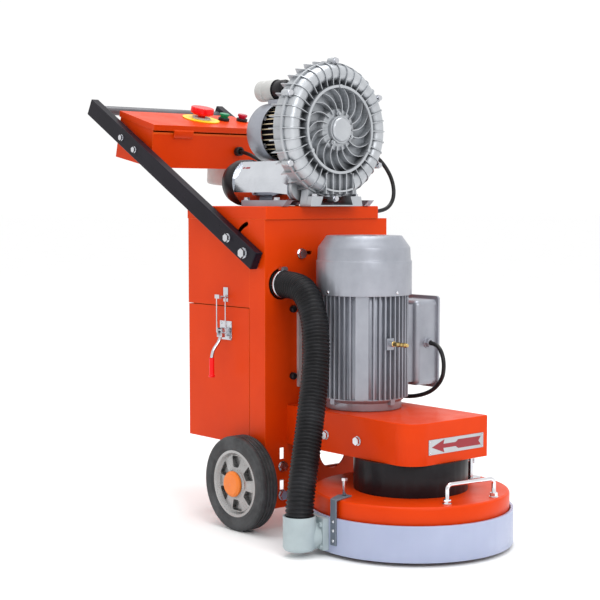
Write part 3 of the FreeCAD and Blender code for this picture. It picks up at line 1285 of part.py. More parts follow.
os.makedirs("parts", exist_ok=True)
overall = FreeCAD.BoundBox()
for name, shape in placed_parts().items():
    shape.translate(ORIGIN * -1)
    shape.exportStep("parts/" + name + ".step")
    overall.add(shape.BoundBox)
    if not shape.isValid() or any(s.Volume <= 0 for s in shape.Solids):
        print("check", name, shape.isValid(), [round(s.Volume) for s in shape.Solids])
print("overall box", [round(v, 1) for v in (overall.XMin, overall.XMax, overall.YMin, overall.YMax,
                                            overall.ZMin, overall.ZMax)])
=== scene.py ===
"""Looks of the walk-behind concrete grinder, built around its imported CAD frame."""
import itertools
import math

import bmesh
import bpy
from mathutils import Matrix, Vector


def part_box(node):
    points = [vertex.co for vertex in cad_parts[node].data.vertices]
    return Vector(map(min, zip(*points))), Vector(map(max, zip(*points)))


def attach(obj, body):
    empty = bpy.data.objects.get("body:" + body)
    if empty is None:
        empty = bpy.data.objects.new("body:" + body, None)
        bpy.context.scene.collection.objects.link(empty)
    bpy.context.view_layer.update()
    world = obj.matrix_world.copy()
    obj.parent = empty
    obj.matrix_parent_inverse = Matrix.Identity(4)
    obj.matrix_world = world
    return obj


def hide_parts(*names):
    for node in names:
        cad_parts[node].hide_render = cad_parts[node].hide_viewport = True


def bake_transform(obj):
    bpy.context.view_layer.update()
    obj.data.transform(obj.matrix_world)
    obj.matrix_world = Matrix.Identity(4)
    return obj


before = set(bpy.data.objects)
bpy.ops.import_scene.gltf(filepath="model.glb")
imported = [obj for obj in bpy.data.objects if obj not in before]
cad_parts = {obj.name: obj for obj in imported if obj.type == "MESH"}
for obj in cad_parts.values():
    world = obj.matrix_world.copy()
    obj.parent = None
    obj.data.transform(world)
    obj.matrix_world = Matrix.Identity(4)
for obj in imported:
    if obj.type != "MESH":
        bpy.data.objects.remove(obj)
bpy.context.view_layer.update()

MM = 0.001
X_AXIS, Y_AXIS, Z_AXIS = Vector((1, 0, 0)), Vector((0, 1, 0)), Vector((0, 0, 1))


# ---- places read from the frame ---------------------------------------------------------------
def middle(node):
    """Centre of a node's box."""
    low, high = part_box(node)
    return (low + high) / 2


SPINDLE = middle("drive_plate")
SPINDLE.z = 0.0


def at(x, y, z):
    """A point given in millimetres from the spindle's axis at floor level."""
    return SPINDLE + Vector((x, y, z)) * MM


# ---- node materials ---------------------------------------------------------------------------
def principled(name, **sockets):
    """A material with one Principled shader, and its node tree to add texture nodes to."""
    material = bpy.data.materials.new(name)
    material.use_nodes = True
    shader = material.node_tree.nodes["Principled BSDF"]
    for socket, value in sockets.items():
        shader.inputs[socket.replace("_", " ")].default_value = value
    return material, shader


def add(material, kind, **values):
    """A new node whose sockets and properties are set by name."""
    node = material.node_tree.nodes.new(kind)
    for key, value in values.items():
        if key in node.inputs:
            node.inputs[key].default_value = value
        else:
            setattr(node, key, value)
    return node


def link(material, out, into):
    material.node_tree.links.new(out, into)


def coordinates(material, stretch=(1, 1, 1)):
    """Object coordinates, stretched along the axes."""
    source = add(material, "ShaderNodeTexCoord")
    mapping = add(material, "ShaderNodeMapping")
    mapping.inputs["Scale"].default_value = stretch
    link(material, source.outputs["Object"], mapping.inputs["Vector"])
    return mapping.outputs["Vector"]


def noise(material, scale, detail=3.0, roughness=0.5, stretch=(1, 1, 1)):
    texture = add(material, "ShaderNodeTexNoise", Scale=scale, Detail=detail, Roughness=roughness)
    link(material, coordinates(material, stretch), texture.inputs["Vector"])
    return texture.outputs["Fac"]


def ramp(material, value, stops):
    """Colours along a value: stops are (place, colour) pairs."""
    node = add(material, "ShaderNodeValToRGB")
    elements = node.color_ramp.elements
    while len(elements) < len(stops):
        elements.new(0.5)
    for element, (place, colour) in zip(elements, stops):
        element.position = place
        element.color = (*colour, 1) if len(colour) == 3 else colour
    link(material, value, node.inputs["Fac"])
    return node.outputs["Color"]


def grey(level):
    return (level, level, level)


def mixed(material, factor, first, second):
    """Second colour over the first, where the factor is white."""
    node = add(material, "ShaderNodeMix", data_type="RGBA")
    for socket, value in (("Factor", factor), ("A", first), ("B", second)):
        target = [s for s in node.inputs if s.name == socket and s.enabled][0]
        if isinstance(value, bpy.types.NodeSocket):
            link(material, value, target)
        else:
            target.default_value = value
    return [s for s in node.outputs if s.enabled][0]


def bumped(material, shader, height, strength, distance):
    node = add(material, "ShaderNodeBump", Strength=strength, Distance=distance)
    link(material, height, node.inputs["Height"])
    link(material, node.outputs["Normal"], shader.inputs["Normal"])


def edge_highlight(material, radius, low, high):
    """A mask that is white on outer edges, where a paler colour is painted on as a highlight."""
    bevel = add(material, "ShaderNodeBevel", samples=4)
    bevel.inputs["Radius"].default_value = radius
    geometry = add(material, "ShaderNodeNewGeometry")
    dot = add(material, "ShaderNodeVectorMath", operation="DOT_PRODUCT")
    link(material, bevel.outputs["Normal"], dot.inputs[0])
    link(material, geometry.outputs["Normal"], dot.inputs[1])
    return ramp(material, dot.outputs["Value"], [(low, grey(1)), (high, grey(0))])


def paint(name, colour, dark, highlight_colour, roughness, specular=0.25, peel=0.04):
    """Sprayed gloss paint: slight orange peel, uneven shade, and paler outer edges as a painted highlight.
    """
    material, shader = principled(name, Roughness=roughness, Specular_IOR_Level=specular)
    cloud = noise(material, scale=5.0, detail=4.0, roughness=0.6)
    tint = ramp(material, cloud, [(0.35, dark), (0.65, colour)])
    # Outer edges take the paler colour: a painted highlight.
    edge_lit = edge_highlight(material, radius=0.0012, low=0.93, high=0.995)
    link(material, mixed(material, edge_lit, tint, (*highlight_colour, 1)), shader.inputs["Base Color"])
    gloss = ramp(material, noise(material, scale=18.0, detail=5.0, roughness=0.65),
                 [(0.3, grey(roughness * 0.85)), (0.75, grey(roughness * 1.25))])
    link(material, gloss, shader.inputs["Roughness"])
    bumped(material, shader, noise(material, scale=900.0, detail=2.0), strength=peel, distance=0.0004)
    return material


def recess(material, reach, low, high):
    """A mask that is black in crevices and white in the open."""
    shade = add(material, "ShaderNodeAmbientOcclusion", samples=6)
    shade.inputs["Distance"].default_value = reach
    return ramp(material, shade.outputs["AO"], [(low, grey(0)), (high, grey(1))])


def metal(name, colour, dark, roughness, grain=(1, 1, 1), scale=300.0, bump=0.08, metallic=1.0,
          crevice_shade=None):
    """Bare or plated metal with brushed or cast grain, and painted shade of a colour in its crevices if
    given.
    """
    material, shader = principled(name, Metallic=metallic, Roughness=roughness)
    fine = noise(material, scale, detail=4.0, roughness=0.6, stretch=grain)
    patches = noise(material, scale=14.0, detail=4.0, roughness=0.6)
    tint = ramp(material, patches, [(0.3, dark), (0.7, colour)])
    if crevice_shade:
        # Crevices found by ambient occlusion take the darker colour: painted shade.
        open_parts = recess(material, reach=0.02, low=0.25, high=0.85)
        tint = mixed(material, open_parts, (*crevice_shade, 1), tint)
    link(material, tint, shader.inputs["Base Color"])
    rough = ramp(material, fine, [(0.3, grey(roughness * 0.75)), (0.7, grey(min(1, roughness * 1.3)))])
    link(material, rough, shader.inputs["Roughness"])
    bumped(material, shader, fine, strength=bump, distance=0.0005)
    return material


def plastic(name, colour, dark, roughness, grain=1200.0, bump=0.06, **more):
    """Moulded plastic with a fine grain."""
    material, shader = principled(name, Roughness=roughness, **more)
    tint = ramp(material, noise(material, scale=25.0), [(0.3, dark), (0.7, colour)])
    link(material, tint, shader.inputs["Base Color"])
    bumped(material, shader, noise(material, grain, detail=2.0), strength=bump, distance=0.0003)
    return material


def rubber(name, colour, dusty, roughness, specular, dust_scale=9.0):
    """Black rubber with a little pale dust on it."""
    material, shader = principled(name, Roughness=roughness, Specular_IOR_Level=specular)
    spots = noise(material, dust_scale, detail=6.0, roughness=0.7)
    dust = ramp(material, spots, [(0.45, colour), (0.85, dusty)])
    link(material, dust, shader.inputs["Base Color"])
    bumped(material, shader, noise(material, scale=700.0), strength=0.1, distance=0.0004)
    return material


def filter_paper():
    """Pleated cream paper, darker in the pleats' folds as painted shade."""
    material, shader = principled("filter_paper", Roughness=0.9)
    wave = add(material, "ShaderNodeTexWave", Scale=60.0, Distortion=0.4)
    link(material, coordinates(material), wave.inputs["Vector"])
    # Darker where the wave dips into a fold: painted shade.
    tint = ramp(material, wave.outputs["Fac"], [(0.2, (0.45, 0.42, 0.34)), (0.8, (0.8, 0.77, 0.68))])
    link(material, tint, shader.inputs["Base Color"])
    bumped(material, shader, wave.outputs["Fac"], strength=0.5, distance=0.002)
    return material


def skirt_plastic():
    """Milky translucent polyethylene, slightly scuffed."""
    material, shader = principled("skirt_plastic", Roughness=0.38, Subsurface_Weight=0.35,
                                  Subsurface_Scale=0.01, Specular_IOR_Level=0.4)
    shader.inputs["Subsurface Radius"].default_value = (1.0, 0.8, 1.0)
    tint = ramp(material, noise(material, scale=6.0),
                [(0.3, (0.32, 0.36, 0.50)), (0.7, (0.38, 0.42, 0.56))])
    link(material, tint, shader.inputs["Base Color"])
    scratches = noise(material, scale=60.0, detail=6.0, roughness=0.7, stretch=(1, 1, 5))
    scuff = ramp(material, scratches, [(0.4, grey(0.3)), (0.8, grey(0.55))])
    link(material, scuff, shader.inputs["Roughness"])
    bumped(material, shader, noise(material, scale=260.0, detail=2.0), strength=0.04, distance=0.0006)
    return material


MATERIALS = {
    # The fourth colour of each paint is the paler colour of its painted edge highlight.
    "orange": paint("orange", (0.64, 0.044, 0.0008), (0.58, 0.037, 0.0006), (0.74, 0.10, 0.01), 0.36,
                    specular=0.12),
    "black_paint": paint("black_paint", (0.009, 0.007, 0.013), (0.005, 0.004, 0.008),
                         (0.05, 0.05, 0.06), 0.3, specular=0.14),
    "silver_paint": metal("silver_paint", (0.35, 0.365, 0.41), (0.28, 0.295, 0.335), 0.38, scale=500.0,
                          metallic=0.6),
    # The last colour of the cast aluminium and of the rims is painted shade in their crevices.
    "cast_aluminium": metal("cast_aluminium", (0.50, 0.52, 0.545), (0.41, 0.43, 0.455), 0.38, scale=420.0,
                            bump=0.18, metallic=0.65, crevice_shade=(0.15, 0.16, 0.175)),
    "rim_metal": metal("rim_metal", (0.42, 0.42, 0.42), (0.30, 0.295, 0.29), 0.3, scale=300.0,
                       metallic=0.8, crevice_shade=(0.10, 0.10, 0.10)),
    "steel": metal("steel", (0.5, 0.5, 0.5), (0.4, 0.4, 0.4), 0.32, (1, 1, 12)),
    "stainless": metal("stainless", (0.64, 0.66, 0.70), (0.56, 0.58, 0.62), 0.13, (1, 0.05, 1), bump=0.02),
    "zinc": metal("zinc", (0.66, 0.67, 0.70), (0.5, 0.51, 0.55), 0.22, scale=160.0, bump=0.05),
    "chrome": metal("chrome", (0.8, 0.8, 0.82), (0.68, 0.68, 0.71), 0.08, bump=0.02),
    "iron": metal("iron", (0.12, 0.12, 0.125), (0.07, 0.07, 0.075), 0.6, bump=0.3),
    "tyre": rubber("tyre", (0.018, 0.019, 0.021), (0.09, 0.095, 0.1), 0.62, 0.5),
    "rubber": rubber("rubber", (0.008, 0.007, 0.009), (0.022, 0.022, 0.025), 0.36, 0.2, 6.0),
    "hose": rubber("hose", (0.006, 0.006, 0.007), (0.026, 0.027, 0.031), 0.38, 0.16, 14.0),
    "cable": rubber("cable", (0.008, 0.008, 0.009), (0.022, 0.022, 0.025), 0.36, 0.3, 20.0),
    "bar_grey": paint("bar_grey", (0.13, 0.135, 0.15), (0.09, 0.093, 0.105), (0.22, 0.23, 0.25), 0.32,
                      specular=0.5),
    "skirt": skirt_plastic(),
    "port": plastic("port", (0.37, 0.44, 0.46), (0.31, 0.37, 0.39), 0.5, 500.0, 0.12),
    "cap_orange": plastic("cap_orange", (0.80, 0.20, 0.012), (0.72, 0.16, 0.01), 0.35),
    "brass": metal("brass", (0.70, 0.50, 0.2), (0.52, 0.36, 0.13), 0.25, bump=0.05),
    "white": plastic("white", (0.46, 0.46, 0.45), (0.39, 0.39, 0.38), 0.4),
    "yellow": plastic("yellow", (0.84, 0.62, 0.01), (0.76, 0.54, 0.01), 0.32, Specular_IOR_Level=0.3),
    "red": plastic("red", (0.84, 0.006, 0.008), (0.74, 0.005, 0.006), 0.26, Specular_IOR_Level=0.25),
    "dark_red": plastic("dark_red", (0.42, 0.002, 0.03), (0.34, 0.002, 0.024), 0.26,
                        Specular_IOR_Level=0.35),
    "green": plastic("green", (0.0, 0.27, 0.11), (0.0, 0.21, 0.085), 0.28, Specular_IOR_Level=0.3),
    "black_plastic": plastic("black_plastic", (0.010, 0.010, 0.011), (0.017, 0.017, 0.018), 0.4,
                             Specular_IOR_Level=0.3),
    "grey_plastic": plastic("grey_plastic", (0.5, 0.51, 0.5), (0.42, 0.43, 0.42), 0.45),
    "strap_grey": paint("strap_grey", (0.13, 0.155, 0.19), (0.10, 0.12, 0.15), (0.3, 0.33, 0.36), 0.4),
    "strip": plastic("strip", (0.42, 0.36, 0.36), (0.36, 0.3, 0.3), 0.5),
    "arrow_red": plastic("arrow_red", (0.30, 0.006, 0.018), (0.23, 0.005, 0.014), 0.4),
    "label_cream": plastic("label_cream", (0.66, 0.56, 0.38), (0.56, 0.46, 0.3), 0.6),
    "filter": filter_paper(),
    "diamond": metal("diamond", (0.35, 0.32, 0.27), (0.2, 0.18, 0.15), 0.65, scale=900.0, bump=0.5),
}

NODE_MATERIALS = {
    "orange": ["front_frame", "filter_housing", "cabinet_lid", "belt_housing", "head_shroud",
               "control_box", "control_lid", "dust_bin"],
    "black_paint": ["handle_bars", "blower_motor_frame"],
    "silver_paint": ["motor_frame", "motor_cowl", "terminal_box", "blower_motor_cowl"],
    "cast_aluminium": ["blower_front_casing", "blower_rear_casing", "blower_impeller",
                       "direction_plate"],
    "rim_metal": ["rim_left", "rim_right"],
    "steel": ["wheel_axle", "spindle_bearings", "spindle_shaft", "drive_plate",
              "motor_rotor"],
    "bar_grey": ["handle_crossbar"],
    "stainless": ["silencers"],
    "zinc": ["head_tie_link", "frame_fasteners", "latch_keepers", "handle_bolts", "latch_bases",
             "latch_lever_left", "latch_lever_right", "latch_bail_left", "latch_bail_right"],
    "chrome": ["shroud_handle"],
    "iron": ["bearing_housing", "spindle_pulley", "motor_pulley"],
    "tyre": ["tyre_left", "tyre_right"],
    "rubber": ["rubber_collar", "drive_belts"],
    "cable": ["power_cables", "control_cable"],
    "hose": ["dust_hose"],
    "skirt": ["dust_skirt"],
    "port": ["dust_port"],
    "cap_orange": ["hub_cap_left", "hub_cap_right"],
    "brass": ["brass_barb"],
    "white": ["blower_capacitor"],
    "yellow": ["switch_bezels"],
    "red": ["estop_button"],
    "dark_red": ["stop_button"],
    "green": ["start_button"],
    "grey_plastic": ["power_inlet"],
    "filter": ["filter_cartridge"],
    "diamond": ["diamond_shoes"],
}


def painted_where(nodes, material, chosen):
    """Faces of a CAD node whose middle, in millimetres from the spindle, is chosen take a material."""
    for node in nodes:
        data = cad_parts[node].data
        data.materials.append(MATERIALS[material])
        index = len(data.materials) - 1
        for face in data.polygons:
            if chosen((face.center - SPINDLE) / MM):
                face.material_index = index


WELD_REACH, BEVEL_ANGLE = 0.00001, math.radians(32)
# Bevel widths in millimetres, where they differ from the usual one.
USUAL_BEVEL = 0.5
BEVEL_WIDTH = {"front_frame": 0.8, "filter_housing": 1.0, "dust_bin": 1.0, "cabinet_lid": 0.8,
               "belt_housing": 0.8, "motor_frame": 0.6, "terminal_box": 0.8, "rim_left": 0.9,
               "rim_right": 0.9, "tyre_left": 0.8, "tyre_right": 0.8, "power_cables": 0.0,
               "motor_cowl": 0.8}


def softened_edges(obj, width):
    """Narrow bevels that catch the light, without touching the CAD mesh."""
    weld = obj.modifiers.new("weld", "WELD")
    weld.merge_threshold = WELD_REACH
    bevel = obj.modifiers.new("bevel", "BEVEL")
    bevel.width = width
    bevel.segments = 2
    bevel.limit_method = "ANGLE"
    bevel.angle_limit = BEVEL_ANGLE
    bevel.harden_normals = True


# Borders between the two or three materials of one node, in millimetres from the spindle.
NEAR = 0.1
LID_RISE, LID_RUN = 41.0, 152.0
LID_SLOPE = math.atan2(LID_RISE, LID_RUN)
ESTOP_AXIS_X, YELLOW_REACH, COLLAR_REACH = 40.0, 54.0, 25.6
CONTROL_GLAND, CONTROL_GLAND_R, CONTROL_GLAND_Y = (101.0, 899.0), 12.5, 765.0
BLOWER_AXIS_Z, FIN_TIP_R = 934.0, 60.5
JUNCTION_BOX_X, JUNCTION_BOX_Z, JUNCTION_BOX_HALF = 39.0, 928.0, 30.0
SILENCER_CAP_Y, SILENCER_RAIL_Z, SILENCER_RAIL_Y = 490.0, 770.0, 445.0
CAPACITOR_BOOT_Y = 468.0
GRIP_TOP_Z = 396.0
SKIRT_TOP_Z, SKIRT_R = 87.5, 230.4
FRONT_PLATE_Y, KNOB_DEPTH = 295.0, 13.0
KNOB_X, KNOB_REACH, KNOB_Z = -100.0, 10.0, 300.0
STRIP_X, STRIP_Z = (-90.0, -74.0), (320.0, 520.0)
BARB_PAD_Y = 41.0


def estop_reach(p):
    """Distance of a point from the stop switch's axis, which stands square on the sloping lid."""
    centre = (middle("estop_button") - SPINDLE) / MM
    up = Vector((0, -math.sin(LID_SLOPE), math.cos(LID_SLOPE)))
    away = p - centre
    return (away - up * away.dot(up)).length


def on_control_gland(p):
    return p.y < CONTROL_GLAND_Y and math.dist((p.x, p.z), CONTROL_GLAND) < CONTROL_GLAND_R


def on_fin_tips(p):
    on_junction_box = p.x > JUNCTION_BOX_X and abs(p.z - JUNCTION_BOX_Z) < JUNCTION_BOX_HALF
    return math.hypot(p.x, p.z - BLOWER_AXIS_Z) > FIN_TIP_R and not on_junction_box


def on_front_plate(p):
    return FRONT_PLATE_Y - KNOB_DEPTH < p.y < FRONT_PLATE_Y - NEAR


def on_knobs(p):
    return on_front_plate(p) and abs(p.x - KNOB_X) < KNOB_REACH and p.z > KNOB_Z


def on_strip(p):
    return on_front_plate(p) and STRIP_X[0] < p.x < STRIP_X[1] and STRIP_Z[0] < p.z < STRIP_Z[1]


def colour_details():
    """Second materials on CAD nodes that hold pieces of two kinds."""
    painted_where(["switch_bezels"], "white", lambda p: estop_reach(p) < COLLAR_REACH)
    painted_where(["control_box"], "black_plastic", on_control_gland)
    painted_where(["blower_motor_frame"], "label_cream", on_fin_tips)
    painted_where(["switch_bezels"], "black_plastic", lambda p: p.x > ESTOP_AXIS_X + YELLOW_REACH)
    painted_where(["blower_capacitor"], "rubber", lambda p: p.y < CAPACITOR_BOOT_Y + NEAR)
    painted_where(["silencers"], "rubber", lambda p: p.y > SILENCER_CAP_Y + NEAR)
    painted_where(["silencers"], "silver_paint",
                  lambda p: p.z < SILENCER_RAIL_Z and p.y < SILENCER_RAIL_Y)
    painted_where(["latch_lever_left", "latch_lever_right"], "red", lambda p: p.z < GRIP_TOP_Z)
    painted_where(["dust_skirt"], "strap_grey",
                  lambda p: p.z > SKIRT_TOP_Z or math.hypot(p.x, p.y) > SKIRT_R)
    painted_where(["frame_fasteners"], "rubber", on_knobs)
    painted_where(["frame_fasteners"], "strip", on_strip)
    painted_where(["brass_barb"], "silver_paint", lambda p: p.y > BARB_PAD_Y)


def dress_cad_nodes():
    for material, nodes in NODE_MATERIALS.items():
        for node in nodes:
            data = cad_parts[node].data
            data.materials.clear()
            data.materials.append(MATERIALS[material])
    colour_details()
    for node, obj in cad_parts.items():
        width = BEVEL_WIDTH.get(node, USUAL_BEVEL)
        if width:
            softened_edges(obj, width * MM)


dress_cad_nodes()


# ---- mesh helpers -----------------------------------------------------------------------------
def new_object(name, mesh, material, smooth=True):
    for face in mesh.polygons:
        face.use_smooth = smooth
    mesh.materials.append(MATERIALS[material])
    obj = bpy.data.objects.new(name, mesh)
    bpy.context.collection.objects.link(obj)
    return obj


def finished(mesh, name):
    """The mesh data made from a bmesh, which is freed."""
    data = bpy.data.meshes.new(name)
    mesh.to_mesh(data)
    mesh.free()
    return data


def bridge(mesh, first, second):
    """A band of faces between two rings of the same number of points."""
    for k in range(len(first)):
        after = (k + 1) % len(first)
        mesh.faces.new((first[k], first[after], second[after], second[k]))


def line_through(points):
    """Points along the smooth NURBS line of a route given from the spindle, closely spaced."""
    curve = bpy.data.curves.new("route", "CURVE")
    curve.dimensions = "3D"
    curve.resolution_u = 40
    spline = curve.splines.new("NURBS")
    spline.points.add(len(points) - 1)
    for control, point in zip(spline.points, points):
        control.co = (*at(*point), 1)
    spline.order_u = 3
    spline.use_endpoint_u = True
    holder = bpy.data.objects.new("route", curve)
    bpy.context.collection.objects.link(holder)
    bpy.context.view_layer.update()
    line = bpy.data.meshes.new_from_object(holder.evaluated_get(bpy.context.evaluated_depsgraph_get()))
    found = [v.co.copy() for v in line.vertices]
    bpy.data.objects.remove(holder)
    bpy.data.meshes.remove(line)
    return found


def length_of(line):
    return sum((b - a).length for a, b in zip(line, line[1:]))


def evenly(line, step):
    """The same line with points a fixed step apart."""
    total = length_of(line)
    count = max(2, round(total / step))
    spacing = total / count
    found, walked, k = [line[0]], 0.0, 0
    for n in range(1, count):
        goal = n * spacing
        while walked + (line[k + 1] - line[k]).length < goal:
            walked += (line[k + 1] - line[k]).length
            k += 1
        share = (goal - walked) / (line[k + 1] - line[k]).length
        found.append(line[k].lerp(line[k + 1], share))
    return found + [line[-1]]


def tube_mesh(name, line, radius_at, sides):
    """Closed tube along a line, whose radius is a function of the distance from its start."""
    mesh = bmesh.new()
    forward = (line[1] - line[0]).normalized()
    across = forward.orthogonal().normalized()
    rings, walked = [], 0.0
    for k, point in enumerate(line):
        ahead = (line[min(k + 1, len(line) - 1)] - line[max(k - 1, 0)]).normalized()
        across = (across - ahead * across.dot(ahead)).normalized()
        other = ahead.cross(across)
        if k:
            walked += (point - line[k - 1]).length
        radius = radius_at(walked)
        ring = []
        for n in range(sides):
            turn = math.tau * n / sides
            ring.append(mesh.verts.new(point + (across * math.cos(turn) + other * math.sin(turn)) * radius))
        rings.append(ring)
    for low, high in zip(rings, rings[1:]):
        bridge(mesh, low, high)
    mesh.faces.new(rings[0][::-1])
    mesh.faces.new(rings[-1])
    return finished(mesh, name)


def plate_mesh(name, corners, depth):
    """Flat piece with the given corners, thickened along its depth vector."""
    mesh = bmesh.new()
    front = [mesh.verts.new(p) for p in corners]
    back = [mesh.verts.new(p + depth) for p in corners]
    mesh.faces.new(front)
    mesh.faces.new(back[::-1])
    for k in range(len(corners)):
        after = (k + 1) % len(corners)
        mesh.faces.new((front[after], front[k], back[k], back[after]))
    bmesh.ops.recalc_face_normals(mesh, faces=mesh.faces)
    return finished(mesh, name)


# ---- hose and cables --------------------------------------------------------------------------
# Routes in millimetres from the spindle's axis at floor level, as in the part's source.
DUST_HOSE = [(-134, 303, 575), (-134, 250, 575), (-138, 203, 563), (-146, 168, 522), (-152, 149, 466),
             (-168, 131, 396), (-195, 112, 325), (-222, 94, 252), (-249, 77, 187), (-268, 66, 131),
             (-275.1, 62, 94), (-275.1, 62, 58)]
MOTOR_CABLE = [(163, 106, 433), (162, 82, 432), (157, 58, 417), (154, 46, 388), (155, 52, 352),
               (149, 78, 322), (137, 115, 307), (125, 156, 303), (118, 200, 308), (112, 248, 320),
               (109, 297, 327)]
BLOWER_CABLE = [(87, 397, 926), (118, 396, 925), (158, 390, 920), (203, 376, 902), (242, 356, 870),
                (266, 341, 826), (268, 333, 782), (248, 330, 752), (212, 329, 741), (168, 330, 740)]
CONTROL_CABLE = [(101, 757, 899), (101, 728, 895), (105, 692, 882), (114, 654, 859), (124, 620, 833),
                 (133, 592, 808), (138, 573, 787), (140, 564, 769), (140, 561, 751)]
# Radii, pitch and steps in metres.
HOSE_R, HOSE_PITCH, HOSE_GROOVE = 0.0315, 0.0082, 0.0034
HOSE_STEP, HOSE_PATH_STEP, HOSE_SIDES = HOSE_PITCH / 8, 0.01, 40
RIDGE_BREADTH = 0.55
CABLE_R, CABLE_STEP, CABLE_SIDES = 0.005, 0.005, 20


def corrugated(distance):
    """Hose radius: broad round ridges with narrow grooves between them."""
    wave = 0.5 - 0.5 * math.cos(math.tau * distance / HOSE_PITCH)
    return HOSE_R - HOSE_GROOVE * (1 - wave ** RIDGE_BREADTH)


def build_dust_hose():
    line = line_through(DUST_HOSE)
    mesh = tube_mesh("hose_corrugated", evenly(line, HOSE_STEP), corrugated, HOSE_SIDES)
    hose = new_object("hose_corrugated", mesh, "hose")
    evenly(line, HOSE_PATH_STEP)
    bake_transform(hose)
    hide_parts("dust_hose")


def build_cable(name, route, node):
    line = line_through(route)
    path = evenly(line, CABLE_STEP)
    cable = new_object(name, tube_mesh(name, path, lambda distance: CABLE_R, CABLE_SIDES), "cable")
    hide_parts(node)
    return cable


build_dust_hose()
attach(build_cable("motor_lead", MOTOR_CABLE, "power_cables"), "chassis")
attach(build_cable("blower_lead", BLOWER_CABLE, "power_cables"), "chassis")
control_lead = build_cable("control_lead", CONTROL_CABLE, "control_cable")
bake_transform(control_lead)


# ---- labels and small trim --------------------------------------------------------------------
LABEL_THICKNESS = 0.0006


def arrow_outline(length, height):
    """Broad arrow with a thin waist and a notched tail, as (along, up) points from its middle."""
    half, waist, tail = length / 2, height * 0.16, height * 0.34
    upper = [(-half + length * 0.25, height / 2), (-half + length * 0.23, waist), (-length * 0.02, waist),
             (length * 0.03, tail), (half, tail)]
    lower = [(along, -up) for along, up in reversed(upper)]
    return [(-half, 0), *upper, (half - length * 0.05, 0), *lower]


def build_arrow(name, centre, along, up, length, height):
    """Arrow label whose plane is spanned by two directions; it points against the first."""
    away = up.cross(along).normalized()
    depth = away * LABEL_THICKNESS
    corners = [centre + along * a + up * b - depth / 2 for a, b in arrow_outline(length, height)]
    arrow = new_object(name, plate_mesh(name, corners, depth), "arrow_red", smooth=False)
    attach(arrow, "chassis")


def dome_mesh(name, radius, height, sides=20, rows=5):
    """Low rounded head, flat below, standing on the origin along Z."""
    mesh = bmesh.new()
    rings = []
    for row in range(rows):
        tilt = math.pi / 2 * row / rows
        reach = radius * math.cos(tilt)
        rings.append([mesh.verts.new((reach * math.cos(math.tau * k / sides),
                                      reach * math.sin(math.tau * k / sides), height * math.sin(tilt)))
                      for k in range(sides)])
    top = mesh.verts.new((0, 0, height))
    for low, high in zip(rings, rings[1:]):
        bridge(mesh, low, high)
    for k in range(sides):
        mesh.faces.new((rings[-1][k], rings[-1][(k + 1) % sides], top))
    mesh.faces.new(rings[0][::-1])
    return finished(mesh, name)


# Radius and height of each kind of head, in metres.
STRAP_RIVET, PLATE_RIVET, COWL_SCREW = (0.004, 0.0024), (0.0022, 0.0012), (0.0042, 0.003)


def build_head(name, place, outward, size, body="chassis"):
    """One domed screw or rivet head of zinc whose foot is on a face."""
    head = new_object(name, dome_mesh(name, *size), "zinc")
    turn = outward.to_track_quat("Z", "Y").to_matrix().to_4x4()
    turn.translation = place
    head.data.transform(turn)
    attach(head, body)


STRAP_FACE, STRAP_RIVETS_Z = -233.0, (38.0, 60.0, 80.0)


def build_strap_rivets():
    for k, z in enumerate(STRAP_RIVETS_Z):
        build_head("strap_rivet_%d" % k, at(STRAP_FACE, 0, z), -X_AXIS, STRAP_RIVET, "skirt")


ARROW_WIDTH_SHARE, ARROW_HEIGHT_SHARE, RIVET_INSET = 0.9, 0.86, 0.0045


def build_direction_label():
    """Rotation arrow on the direction plate, with a rivet in each of its corners."""
    low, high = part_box("direction_plate")
    centre = (low + high) / 2
    centre.y = low.y
    build_arrow("rotation_arrow", centre, X_AXIS, Z_AXIS, (high.x - low.x) * ARROW_WIDTH_SHARE,
                (high.z - low.z) * ARROW_HEIGHT_SHARE)
    sides = (low.x + RIVET_INSET, high.x - RIVET_INSET)
    levels = (low.z + RIVET_INSET, high.z - RIVET_INSET)
    for k, (x, z) in enumerate(itertools.product(sides, levels)):
        build_head("plate_rivet_%d" % k, Vector((x, low.y, z)), -Y_AXIS, PLATE_RIVET)


SILENCER_CENTRE, SILENCER_SIDE, SILENCER_TOP = (-70.0, 812.0), (-52.0, 10.0), (-24.0, 50.0)
# Place across the sloping side, from its lower edge, and length and height in metres.
FLOW_ARROW_Y, FLOW_ARROW_SHARE, FLOW_ARROW_SIZE = 462.0, 0.62, (0.030, 0.007)


def build_silencer_label():
    """Thin flow arrow on the left silencer's sloping upper side."""
    x, z = SILENCER_CENTRE
    low = at(x + SILENCER_SIDE[0], FLOW_ARROW_Y, z + SILENCER_SIDE[1])
    high = at(x + SILENCER_TOP[0], FLOW_ARROW_Y, z + SILENCER_TOP[1])
    build_arrow("flow_arrow", low.lerp(high, FLOW_ARROW_SHARE), -Y_AXIS, (high - low).normalized(),
                *FLOW_ARROW_SIZE)


COWL_SCREW_Z, COWL_R, COWL_SCREW_COUNT = 561.0, 110.5, 4
MOTOR_AXIS_Y = 156.0


def build_cowl_screws():
    for k in range(COWL_SCREW_COUNT):
        turn = math.tau * k / COWL_SCREW_COUNT
        outward = Vector((math.cos(turn), math.sin(turn), 0))
        place = at(COWL_R * outward.x, MOTOR_AXIS_Y + COWL_R * outward.y, COWL_SCREW_Z)
        build_head("cowl_screw_%d" % k, place, outward, COWL_SCREW)


# The band's place and half width and its screw's outline are in millimetres, its radii in metres.
CLAMP_Y, CLAMP_HALF, CLAMP_SIDES = 287.0, 5.0, 64
CLAMP_INNER_R, CLAMP_OUTER_R = HOSE_R + 0.0002, HOSE_R + 0.0012
CLAMP_SCREW_RISE = 0.8
CLAMP_SCREW_OUTLINE = ((-11, 0), (11, 0), (9, 6), (5, 8), (-5, 8), (-9, 6))


